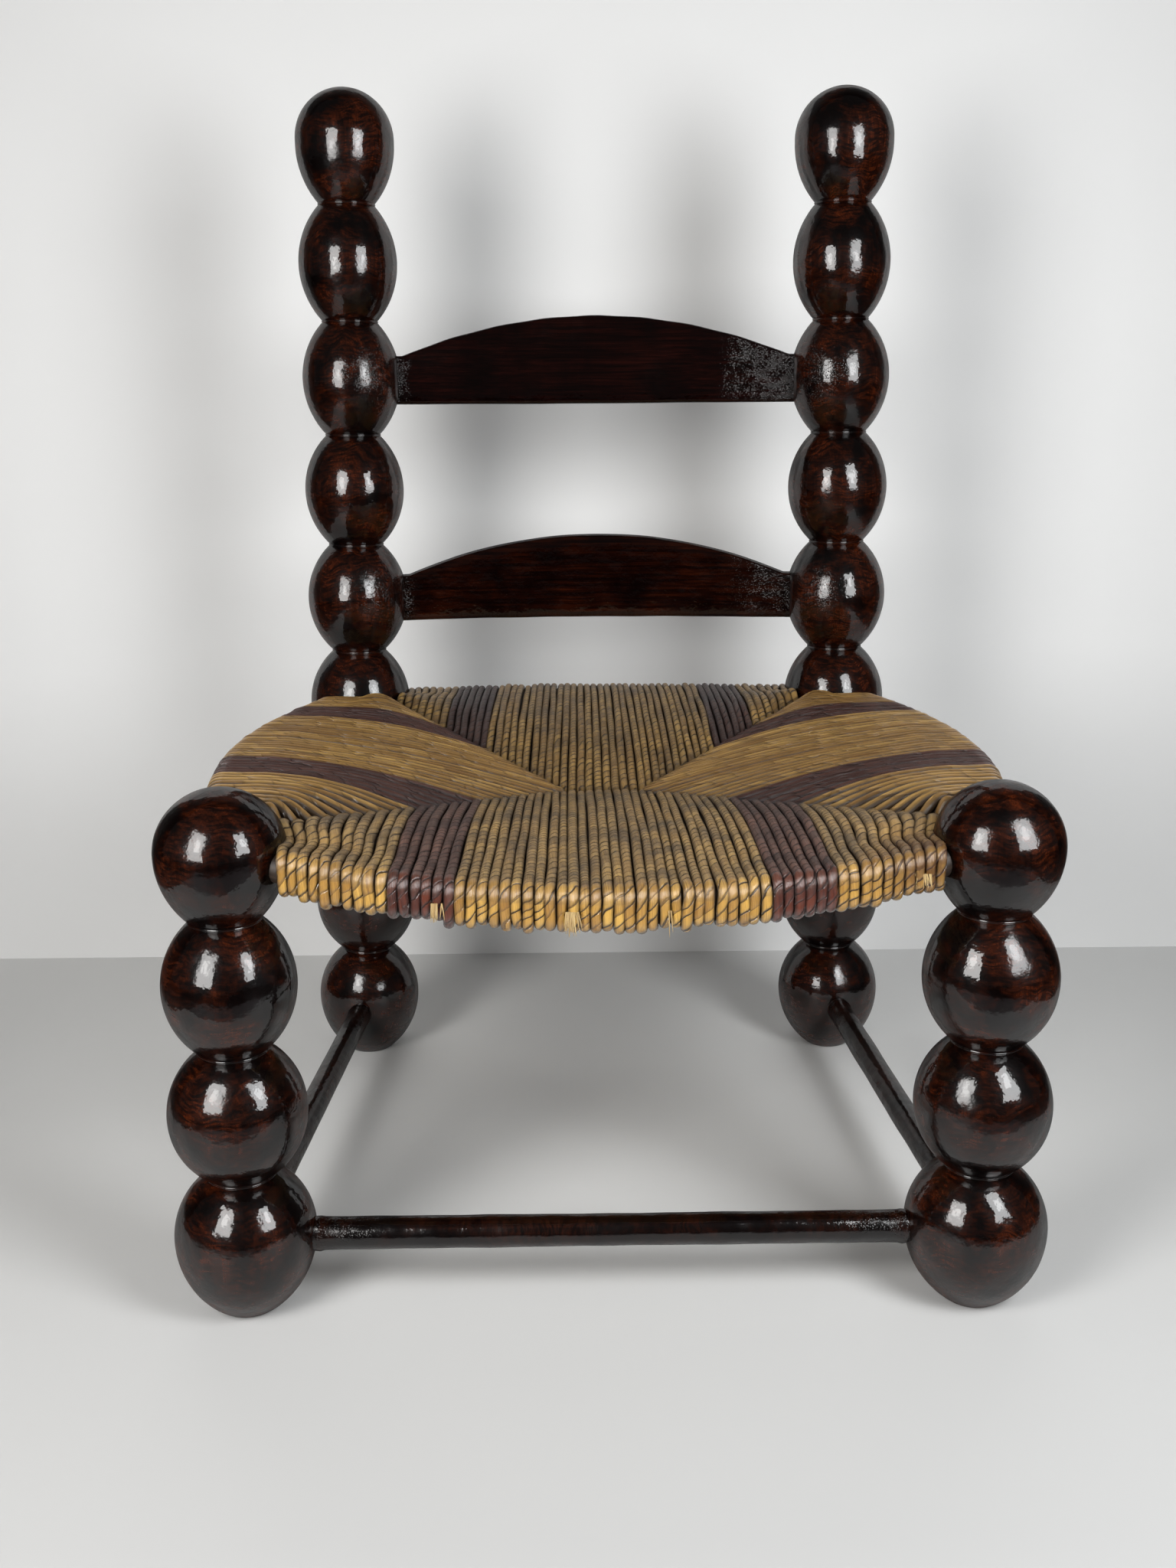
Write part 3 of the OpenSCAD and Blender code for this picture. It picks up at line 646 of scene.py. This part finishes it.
def cordPaths(side, turn, inset, loops=0.0):
    # centre line of each turn in its upright plane: up out of the seat's middle, over the field, round the
    # rail's rim and back below it; u is the way out from the rail's axis, z the height, and zone goes from 0
    # at the inner end over 0.5 at the field's edge to 1 on the rim's face
    rim, inner, topZ, lowZ = turnLines(side, turn)
    heading = rim[:, :2] - inner
    reach = np.linalg.norm(heading, axis=1)
    heading = heading / reach[:, None]
    c, rimHalf = cords, seat["railR"] + seat["rush"]
    inTop, inRim = (c[key] + c["extraThick"][side] + inset for key in ("thickTop", "thickRim"))
    upper = rim[:, 2] + rimHalf - inTop
    lower = rim[:, 2] - rimHalf + inTop - loops
    bend, dive = seat["corner"] - inTop, c["dive"]
    # the inner end, from inside the seat up to the field
    hidden = topZ - inTop - dive
    uDive, zDive = cornerArc(-reach + dive + c["innerGap"], hidden, dive, 180, 90, c["diveRings"])
    zStem = hidden[:, None] + np.linspace(*c["stem"], c["stemRings"])
    uStem = np.broadcast_to((-reach + c["innerGap"])[:, None], zStem.shape)
    # the field: a straight run to the rim's crease, raised half way by the stuffing
    s = np.linspace(0, 1, c["topRings"] + 2)[1:-1]
    u0, z0, u1 = uDive[:, -1:], zDive[:, -1:], rimHalf - inRim - bend
    uTop = u0 + (u1 - u0) * s
    knee = (u1 - u0 - 2 * rimHalf) / (u1 - u0)
    fall = np.clip(s / knee, 0, 1)
    zTop = z0 + (upper[:, None] - z0) * fall + seat["crown"] * np.sin(np.pi * fall)
    # round the rim
    bendU = np.full(len(turn), u1)
    uUp, zUp = cornerArc(bendU, upper - bend, bend, 90, 0, c["bendRings"])
    down = np.linspace(0, 1, c["faceRings"] + 2)[1:-1]
    zFace = (upper - bend)[:, None] + (lower - upper + 2 * bend)[:, None] * down
    uFace = np.broadcast_to(uUp[:, -1:], zFace.shape)
    uLow, zLow = cornerArc(bendU, lower + bend, bend, 0, -90, c["bendRings"])
    # back below
    under = np.linspace(0, 1, c["underRings"] + 1)[1:]
    uUnder = u1 + (-reach[:, None] + c["underGap"] - u1) * under
    zUnder = lower[:, None] + ((lowZ + inTop)[:, None] - lower[:, None]) * np.clip(under / knee, 0, 1)
    u = np.concatenate([uStem, uDive, uTop, uUp, uFace, uLow, uUnder], 1)
    z = np.concatenate([zStem, zDive, zTop, zUp, zFace, zLow, zUnder], 1)
    zone = np.concatenate([np.zeros(c["stemRings"] + c["diveRings"]), s * 0.5, np.full(c["bendRings"], 0.75),
                           np.ones(c["faceRings"] + c["bendRings"]), np.full(c["underRings"], 0.4)])
    return rim, heading, u, z, zone


def hugPosts(side, turn, rim, heading, u, z):
    # sideways shift that closes the wedge between the first cords and the balls of the two posts, shared out
    # over the cords beside them; a ball's half width at a depth d and height z is sqrt(R(z)^2 - d^2)
    count = sum(turnCounts[side])
    shift, widen = np.zeros(u.shape), np.zeros(u.shape)
    for end, number, away in ((0, turn, 1.0), (1, count - turn, -1.0)):
        corner = (side + end) % 4
        if corner < 2:
            b, ballR, middle = frontBalls, frontBalls["head"], seat["frontZ"]
        else:
            b, ballR, middle = backBalls, seat["ballR"], ballMiddle(backBalls, seat["ball"])
        radius = arcRadius(z - middle, ballR, (b["pitch"] - posts["collar"]) / 2, posts["neck"])
        depth = np.sum((rim[:, :2] - seatCorners[corner, :2]) * heading, 1)[:, None] + u
        halfWide = np.sqrt(np.maximum(radius ** 2 - depth ** 2, 0.0))
        wedge = np.clip(postR[corner] - cords["hug"][side][end] - halfWide, 0.0, cords["wedge"][side])
        hugging = cords["hugging"][corner]
        shift -= away * wedge * np.clip(1 - number / hugging, 0, 1)[:, None]
        widen += wedge / hugging / 2 * (number < hugging)[:, None]
    return shift, widen


def rushMesh(name, side, turns, seed):
    # each turn is a wrapped cord: an oval section carried along its centre line, its radius pinched along
    # two creases that wind on by one turn in each lay length
    rng = np.random.default_rng(seed)
    turn = np.array(turns) + 0.5
    n = len(turn)
    rim, heading, u, z, zone = cordPaths(side, turn, 0.0, cords["loop"] * rng.normal(0, 1, n))
    rings = u.shape[1]
    lateral = np.stack([-heading[:, 1], heading[:, 0]], -1)                  # sideways, level
    held = np.clip(np.arange(rings) / 10, 0, 1)
    wander = cords["wander"][side] * smoothNoise(rng, n, rings, (1, 2, 4, 7)) * held
    lift = (cords["ripple"][side] * smoothNoise(rng, n, rings, (1, 3, 6, 10))
            + cords["uneven"][side] * rng.normal(0, 1, (n, 1)))
    # half a cord's width: half the distance between the lines half a turn before and after it
    rimP, innerP, _, _ = turnLines(side, turn + 0.5)
    rimM, innerM, _, _ = turnLines(side, turn - 0.5)
    halfGap = lambda gap: np.abs(np.sum(gap[:, :2] * lateral, 1))[:, None] / 2
    widthRim, widthInner = halfGap(rimP - rimM), np.maximum(halfGap(innerP - innerM), cords["innerHalf"])
    reach = -u.min(1, keepdims=True)
    share = np.clip((u + reach) / reach, 0, 1)
    shift, widen = hugPosts(side, turn, rim, heading, u, z)
    halfWide = (widthInner * (1 - share) + widthRim * share + widen) * cords["wide"][side]
    onFace = np.clip(zone * 2 - 1, 0, 1)
    thick = cords["thickTop"] + (cords["thickRim"] - cords["thickTop"]) * onFace + cords["extraThick"][side]
    vary = 1 + cords["swell"][side] * smoothNoise(rng, n, rings, (1, 3, 5, 9))
    halfWide, thick = halfWide * vary, thick * (1 + 0.7 * (vary - 1))
    # the way along the path in its plane, (du, dz); (-dz, du) points outwards from the seat
    du, dz = np.gradient(u, axis=1), np.gradient(z, axis=1)
    step = np.hypot(du, dz)
    du, dz = du / step, dz / step
    steps = np.hypot(np.diff(u, axis=1), np.diff(z, axis=1))
    length = np.concatenate([np.zeros((n, 1)), np.cumsum(steps, 1)], 1)
    angle = roundAngles(cords["sides"])
    lay = cords["lay"][side] * (1 + 0.2 * rng.normal(0, 1, (n, 1)))
    start = rng.random((n, 1))
    phase = angle / (2 * np.pi) - (length / lay + start)[..., None]
    pinch = 1 - cords["groove"] * (0.5 + 0.5 * np.cos(4 * np.pi * phase)) ** 2
    across = np.cos(angle) * halfWide[..., None] * pinch + (wander + shift)[..., None]
    outward = np.sin(angle) * thick[..., None] * pinch + lift[..., None]
    uu = u[..., None] - outward * dz[..., None]
    zz = z[..., None] + outward * du[..., None]
    level = [rim[:, k, None, None] + heading[:, k, None, None] * uu + lateral[:, k, None, None] * across
             for k in (0, 1)]
    column = np.arange(cords["sides"] + 1) / cords["sides"]
    uv = np.stack(np.broadcast_arrays(column, (length + start * 0.1)[..., None]), -1)
    flankFrom, flankTo = cords["flankFrom"][side], cords["flankTo"][side]
    values = {
        "face": onFace[:, None],
        "own": rng.random((n, 1, 1)),
        "lay": lay[..., None],
        # the flanks, down between two cords, and the inner ends are darkened: painted shade
        "flankShade": np.clip((flankTo - np.sin(angle)) / (flankTo - flankFrom), 0, 1),
        "shade": np.clip(1 - (uu + reach[..., None]) / cords["shadeLong"], 0, 1) * (onFace[:, None] < 0.5),
    }
    return meshFromGrids(name, np.stack([*level, zz], -1), uv=uv, values=values)


def rushFibre():
    # cord's surface: wraps winding round it, each lapping over the next, fibres along them, blotches of dirt
    tree, given, sink = newGroup(
        "rushFibre", {"Wrap": (0, 0, 0), "Place": (0, 0, 0), "Lay": 0.017, "Own": 0.0, "Fineness": 1.0},
        ("Crease", "Fibre", "Blotch", "Wraps", "Height"))
    place, own = given["Place"], given["Own"]
    around, length, _ = addNode(tree, "ShaderNodeSeparateXYZ", {0: given["Wrap"]}).outputs
    turn = times(tree, maths(tree, "SUBTRACT", around, maths(tree, "DIVIDE", length, given["Lay"])), 2.0)
    turn = maths(tree, "MULTIPLY_ADD", noiseOf(tree, place, 60.0, 1.0), 1.6, turn)
    turn = maths(tree, "MULTIPLY_ADD", noiseOf(tree, place, 420.0, 2.0), 0.14, turn)
    phase = maths(tree, "FRACT", turn)
    edge = rampOf(tree, phase, [(0.0, 1.0), (0.08, 1.0), (0.17, 0.2), (0.3, 0.0), (0.95, 0.0), (1.0, 1.0)])
    # every wrap has its own shade and its own depth of crease
    wrapKey = addNode(tree, "ShaderNodeCombineXYZ", {0: maths(tree, "FLOOR", turn), 1: own}).outputs[0]
    white = addNode(tree, "ShaderNodeTexWhiteNoise", {"Vector": wrapKey}, noise_dimensions="2D")
    wraps = white.outputs["Value"]
    # the crease dips the bump, and the rush material paints it as shade
    crease = times(tree, edge, rampOf(tree, wraps, [(0.1, 0.2), (0.55, 1.0)]))
    run = times(tree, length, given["Fineness"])
    slanted = maths(tree, "MULTIPLY_ADD", run, 150.0, times(tree, around, 34.0))
    ply = {0: slanted, 1: times(tree, run, 34.0), 2: times(tree, own, 40.0)}
    fibre = noiseOf(tree, addNode(tree, "ShaderNodeCombineXYZ", ply).outputs[0], 1.0, 4.0, 0.65)
    raised = maths(tree, "MULTIPLY_ADD", fibre, 0.5, times(tree, phase, 0.35))
    setInputs(tree, sink, {
        "Crease": crease, "Fibre": fibre, "Blotch": noiseOf(tree, place, 42.0, 5.0, 0.66), "Wraps": wraps,
        "Height": maths(tree, "SUBTRACT", raised, crease),
    })
    return tree


rushGroup = rushFibre()


def rushMaterial(name, s):
    # clean glossy colour on the rim's face, dirt on the field, both streaked by the fibre; painted shade
    # darkens the creases, the flanks between cords and the inner ends
    material, tree, shader = newMaterial(name)
    place = objectPlace(tree)
    wrap = addNode(tree, "ShaderNodeUVMap", uv_map="wrap").outputs[0]
    own, face, shade, flankShade, lay = (readMask(tree, key) for key in ("own", "face", "shade", "flankShade", "lay"))
    rush = useGroup(tree, rushGroup, {"Wrap": wrap, "Place": place, "Lay": lay, "Own": own,
                                      "Fineness": s["fineness"]})
    tone = maths(tree, "MULTIPLY_ADD", rush["Wraps"], 0.35, times(tree, rush["Fibre"], 0.9))
    clean = mixColour(tree, rampOf(tree, tone, [(0.36, 0.0), (0.82, 1.0)]), s["deep"], s["light"])
    clean = mixColour(tree, times(tree, own, s["spread"]), clean, s["other"])
    patches = rampOf(tree, rush["Blotch"], [(0.38, 0.0), (0.62, 1.0)])
    streaks = rampOf(tree, tone, [(0.35, 0.62), (0.8, 1.15)])
    dirty = mixColour(tree, 1.0, mixColour(tree, patches, s["dirtDark"], s["dirtLight"]), streaks, "MULTIPLY")
    spotty = rampOf(tree, rush["Blotch"], [(0.34, 1.0), (0.66, 0.55)])
    amount = times(tree, between(tree, face, s["dirt"], 0.0), spotty)
    colour = mixColour(tree, amount, clean, dirty)
    # painted shade: creases, flanks and inner ends mixed towards the crease colour
    for mask, share in ((rush["Crease"], s["creases"]), (flankShade, s["flankShadeShare"]), (shade, 0.5)):
        colour = mixColour(tree, times(tree, mask, share), colour, s["crease"])
    if s["stain"]:
        far = vectors(tree, "DISTANCE", place, s["stain"], output="Value")
        near = rampOf(tree, far, [(0.014, 0.9), (0.042, 0.0)])
        uneven = rampOf(tree, rush["Blotch"], [(0.4, 0.35), (0.6, 1.0)])
        colour = mixColour(tree, times(tree, near, uneven), colour, s["stainColour"])
    setInputs(tree, shader, {
        "Base Color": colour,
        "Roughness": between(tree, face, s["topRough"], s["faceRough"]),
        "Coat Weight": between(tree, face, s["topCoat"], s["faceCoat"]),
        "Coat Roughness": s["coatRough"],
        "Specular IOR Level": between(tree, face, s["topGloss"], s["faceGloss"]),
    })
    addBump(tree, shader, rush["Height"], s["bump"], 0.0013)
    return material


# crease: the dark colour of the painted shade in the creases, on the flanks and at the inner ends
naturalLook = {
    "deep": (0.245, 0.112, 0.019), "light": (0.70, 0.415, 0.088), "other": (0.32, 0.150, 0.026),
    "spread": 0.5, "dirtDark": (0.142, 0.102, 0.060), "dirtLight": (0.305, 0.217, 0.113), "dirt": 0.95,
    "crease": (0.016, 0.008, 0.0035), "creases": 0.95, "flankShadeShare": 0.9, "faceRough": 0.30, "topRough": 0.5,
    "faceCoat": 1.0, "topCoat": 0.12, "faceGloss": 0.9, "topGloss": 0.4, "coatRough": 0.15, "bump": 0.8,
    "fineness": 1.0, "stain": None,
}
frontNaturalLook = dict(naturalLook, stain=(0.170, -0.208, 0.292), stainColour=(0.060, 0.016, 0.005))
sideNaturalLook = dict(
    naturalLook, deep=(0.25, 0.116, 0.026), light=(0.76, 0.455, 0.126), other=(0.27, 0.124, 0.026),
    spread=0.65, dirtDark=(0.125, 0.090, 0.050), dirtLight=(0.27, 0.190, 0.092), dirt=0.3, creases=0.35,
    flankShadeShare=0.97, topCoat=0.3, topRough=0.42, topGloss=0.35, bump=0.5, fineness=0.3)
backNaturalLook = dict(naturalLook, dirt=0.8, dirtDark=(0.095, 0.066, 0.036), dirtLight=(0.20, 0.140, 0.070))
dyedLook = dict(
    naturalLook, deep=(0.032, 0.0060, 0.0030), light=(0.155, 0.030, 0.010), other=(0.064, 0.016, 0.009),
    dirtDark=(0.060, 0.040, 0.033), dirtLight=(0.172, 0.122, 0.096), dirt=0.8, crease=(0.008, 0.003, 0.0025),
    creases=0.9)
sideDyedLook = dict(
    dyedLook, light=(0.105, 0.029, 0.015), dirtDark=(0.050, 0.031, 0.026), dirtLight=(0.11, 0.070, 0.058),
    dirt=0.3, topCoat=0.2, creases=0.5, fineness=0.3)
backDyedLook = dict(
    dyedLook, light=(0.08, 0.022, 0.012), dirtDark=(0.030, 0.019, 0.016), dirtLight=(0.080, 0.055, 0.046))
frayLook = dict(
    naturalLook, light=(0.66, 0.49, 0.23), deep=(0.34, 0.22, 0.09), dirt=0.0, creases=0.0, spread=0.3,
    bump=0.3)
rushLooks = {
    "natural": {"front": frontNaturalLook, "back": backNaturalLook, "sides": sideNaturalLook},
    "dyed": {"front": dyedLook, "back": backDyedLook, "sides": sideDyedLook},
}


innerLayer = {"inset": 0.0012, "columns": 64}


def coreMesh(name):
    # the inner layer under the cords: each field's section drawn in by part of a cord's thickness
    sheets = []
    for side in range(4):
        turn = np.linspace(0, sum(turnCounts[side]), innerLayer["columns"])
        rim, heading, u, z, _ = cordPaths(side, turn, innerLayer["inset"])
        level = [rim[:, k, None] + heading[:, k, None] * u for k in (0, 1)]
        sheets.append(np.stack([*level, z], -1))
    return meshFromGrids(name, np.array(sheets), wrapCols=False)


# torn cord ends that hang over the front face: turns that they stand on, numbers of fibres and their lengths
frays = {
    "turns": (14.6, 26.2, 34.6, 58.2), "fibres": (14, 20, 2, 14), "lengths": (0.011, 0.014, 0.016, 0.009),
    "radius": 0.00042, "spread": 0.0019, "stray": 0.0007, "proud": 0.0002, "hang": 0.0014, "raise": 0.0005,
    "rings": 8, "sides": 6, "lay": 0.05, "mapLong": 0.012,
}


def frayMesh(name):
    # thin tapered tubes down the front face, fanning out and away from it
    rng = np.random.default_rng(97)
    t = np.linspace(0, 1, frays["rings"])[None, :]
    angle = roundAngles(frays["sides"])
    tubes = []
    for turn, count, length in zip(frays["turns"], frays["fibres"], frays["lengths"]):
        rim, inner, _, _ = turnLines(0, np.array([turn]))
        out = (rim[0, :2] - inner[0]) / np.linalg.norm(rim[0, :2] - inner[0])
        aside = np.array([-out[1], out[0]])
        start = frays["spread"] * rng.normal(0, 1, (count, 1))
        across = start * (1 + 0.3 * t) + frays["stray"] * rng.normal(0, 1, (count, 1)) * t
        depth = (seat["railR"] + seat["rush"] + frays["proud"]
                 + frays["hang"] * rng.random((count, 1)) * t ** 2)
        z = rim[0, 2] + frays["raise"] - length * (0.6 + 0.4 * rng.random((count, 1))) * t
        radius = frays["radius"] * (1 - 0.8 * t ** 2) * np.ones((count, 1))
        u = depth[..., None] + radius[..., None] * np.sin(angle)
        v = across[..., None] + radius[..., None] * np.cos(angle)
        level = [rim[0, k] + out[k] * u + aside[k] * v for k in (0, 1)]
        tubes.append(np.stack([*level, np.broadcast_to(z[..., None], u.shape)], -1))
    points = np.concatenate(tubes)
    column = np.arange(frays["sides"] + 1) / frays["sides"]
    uv = np.stack(np.meshgrid(column, np.linspace(0, frays["mapLong"], frays["rings"])), -1)
    own = rng.random((len(points), 1, 1))
    values = {"face": 1.0, "own": own, "lay": frays["lay"], "flankShade": 0.0, "shade": 0.0}
    return meshFromGrids(name, points, uv=np.broadcast_to(uv, (len(points), *uv.shape)), values=values)


def makeSeat():
    addPiece("frayedEnds", frayMesh("frayedEnds"), rushMaterial("frayedRush", frayLook), ())
    materials = {(kind, place): rushMaterial(f"{kind}Rush_{place}", look)
                 for kind, looks in rushLooks.items() for place, look in looks.items()}
    for side, word in enumerate(sideNames):
        count = sum(turnCounts[side])
        first, last = seat["natural"][side], seat["natural"][(side + 1) % 4]
        turn = np.arange(count)
        isDyed = (((turn >= first) & (turn < first + seat["dyed"]))
                  | ((turn >= count - last - seat["dyed"]) & (turn < count - last)))
        place = word if word in ("front", "back") else "sides"
        for kind, chosen, seed in (("natural", ~isDyed, 70), ("dyed", isDyed, 80)):
            name = f"{word}Rush{kind.capitalize()}"
            mesh = rushMesh(name, side, turn[chosen], seed + side)
            addPiece(name, mesh, materials[kind, place], [f"{word}_rush_{kind}"])
    # the inner turns under the cords, painted dark brown as the shade inside the seat
    core, tree, shader = newMaterial("rushInnerShade")
    noise = noiseOf(tree, objectPlace(tree), 240.0, 3.0)
    colour = mixColour(tree, noise, (0.012, 0.006, 0.003), (0.05, 0.028, 0.012))
    setInputs(tree, shader, {"Base Color": colour, "Roughness": 0.8})
    addPiece("rushInnerLayer", coreMesh("rushInnerLayer"), core, ())
    print("seat wound:", sum(sum(c) for c in turnCounts), "turns")


makeSeat()


def railWoodInShade():
    # the hidden rails' wood painted dark: painted shade in the gaps where they show beside the balls
    material, tree, shader = newMaterial("railWoodInShade")
    grain = useGroup(tree, woodGroup, {"Place": objectPlace(tree), "Along": (0.2, 1.0, 1.0)})
    colour = mixColour(tree, grain["Ring"], (0.016, 0.008, 0.004), (0.036, 0.019, 0.010))
    setInputs(tree, shader, {"Base Color": colour, "Roughness": 0.55})
    for word in sideNames:
        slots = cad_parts[f"{word}_rail"].data.materials
        slots.clear()
        slots.append(material)
    print("rails finished")


railWoodInShade()


stageLook = {
    "wall": 0.40, "near": -0.46, "front": -0.86, "reach": 4.0, "wallTop": 3.5,
    # floorFront, nearFloor and beyond: painted shade, the floor darker towards the picture's lower edge and
    # darker still past it
    "floor": (0.73, 0.73, 0.72), "floorFront": (0.58, 0.58, 0.575), "paint": (0.80, 0.80, 0.795),
    "nearFloor": (0.17, 0.155, 0.16), "beyond": (0.03, 0.028, 0.027), "mottle": 0.965, "fade": (-0.38, 0.02),
    "aim": (0.0, 0.0, 0.40),
    # beyond this half width and height the boards are dim for all but the camera: painted shade of an unlit
    # room in the chair's bounced light and reflections
    "halfWide": 0.66, "tall": 0.97, "dim": (0.05, 0.047, 0.045), "room": (0.043, 0.044, 0.045),
    # the pale ground that the camera sees around them, and where it begins and is whole
    "around": (0.74, 0.74, 0.735), "aroundFrom": (0.8, 1.3), "aroundLower": 0.1,
}
# two tall lamps beside the camera, each with a brighter bulb behind its cloth: place, size, watts and colour
lamps = {
    "leftWindow": ((-0.62, -0.90, 0.67), (0.47, 0.72), 11.4, (1.0, 0.99, 0.975)),
    "leftBulb": ((-0.61, -0.88, 0.67), (0.17, 0.30), 1.1, (1.0, 0.985, 0.96)),
    "rightWindow": ((0.58, -0.74, 0.70), (0.42, 0.68), 9.2, (0.975, 0.99, 1.0)),
    "rightBulb": ((0.57, -0.72, 0.70), (0.16, 0.28), 1.0, (0.98, 0.99, 1.0)),
}


def isCameraRay(tree):
    return addNode(tree, "ShaderNodeLightPath").outputs["Is Camera Ray"]


def flatSheet(name, corners, colour, frontColour=None, seen=None):
    # seen: the colour that the camera sees; frontColour: the darker colour at the picture's lower edge, a
    # painted shade
    s = stageLook
    mesh = bpy.data.meshes.new(name)
    mesh.from_pydata(corners, [], [(0, 1, 2, 3)])
    material, tree, shader = newMaterial(name)
    place = objectPlace(tree)
    x, y, z = addNode(tree, "ShaderNodeSeparateXYZ", {0: place}).outputs
    darker = tuple(s["mottle"] * c for c in colour)
    tint = mixColour(tree, noiseOf(tree, place, 7.0, 5.0), darker, colour)
    ranged = lambda value, low, high: addNode(
        tree, "ShaderNodeMapRange", {"Value": value, "From Min": low, "From Max": high}).outputs[0]
    # painted shade: the floor darker towards the picture's lower edge
    if frontColour:
        tint = mixColour(tree, ranged(y, *s["fade"]), frontColour, tint)
    sideways, deep = (maths(tree, "ABSOLUTE", value) for value in (x, y))
    wide = maths(tree, "GREATER_THAN", sideways, s["halfWide"])
    outside = maths(tree, "MAXIMUM", wide, maths(tree, "GREATER_THAN", z, s["tall"]))
    byCamera = isCameraRay(tree)
    # painted shade for every ray but the camera's: dim outside the frame, and the near floor strips' own dark
    # colour
    unseen = mixColour(tree, outside, tint, s["dim"])
    setInputs(tree, shader, {"Base Color": mixColour(tree, byCamera, unseen, seen or tint), "Roughness": 0.6})
    # outside the photograph's frame the camera sees an even pale ground, and it sees through a sheet's back
    above = maths(tree, "SUBTRACT", z, s["aroundLower"])
    away = maths(tree, "MAXIMUM", maths(tree, "MAXIMUM", sideways, deep), above)
    far = times(tree, ranged(away, *s["aroundFrom"]), byCamera)
    glow = addNode(tree, "ShaderNodeEmission", {"Color": (*s["around"], 1.0)}).outputs[0]
    shown = addNode(tree, "ShaderNodeMixShader", {0: far, 1: shader.outputs[0], 2: glow}).outputs[0]
    behind = times(tree, addNode(tree, "ShaderNodeNewGeometry").outputs["Backfacing"], byCamera)
    clear = addNode(tree, "ShaderNodeBsdfTransparent").outputs[0]
    whole = addNode(tree, "ShaderNodeMixShader", {0: behind, 1: shown, 2: clear}).outputs[0]
    setInputs(tree, tree.nodes["Material Output"], {"Surface": whole})
    mesh.materials.append(material)
    obj = addObject(name, mesh)


def areaLamp(name, place, size, power, colour):
    data = bpy.data.lights.new(name, "AREA")
    data.shape = "RECTANGLE"
    data.size, data.size_y = size
    data.energy = power
    data.color = colour
    obj = addObject(name, data)
    obj.location = place
    obj.rotation_euler = (Vector(stageLook["aim"]) - Vector(place)).to_track_quat("-Z", "Y").to_euler()


def makeStage():
    # the floor is painted darker past the picture's lower edge, a painted shade that keeps the balls' lower
    # halves dark; the camera itself sees pale sheets on every side
    s = stageLook
    wide, wall, pale = s["reach"], s["wall"], s["floorFront"]
    strip = lambda y0, y1: [(-wide, y0, 0), (wide, y0, 0), (wide, y1, 0), (-wide, y1, 0)]
    flatSheet("floor", strip(s["near"], wall), s["floor"], pale)
    flatSheet("floorNear", strip(s["front"], s["near"]), s["nearFloor"], seen=pale)
    flatSheet("floorBeyond", strip(-wide, s["front"]), s["beyond"], seen=pale)
    upright = [(-wide, wall, 0), (wide, wall, 0), (wide, wall, s["wallTop"]), (-wide, wall, s["wallTop"])]
    flatSheet("wall", upright, s["paint"])
    for name, lamp in lamps.items():
        areaLamp(name, *lamp)
    world = bpy.data.worlds.new("room")
    bpy.context.scene.world = world
    world.use_nodes = True
    tree = world.node_tree
    colour = mixColour(tree, isCameraRay(tree), s["room"], s["around"])
    setInputs(tree, tree.nodes["Background"], {"Color": colour})
    print("stage lit")


makeStage()
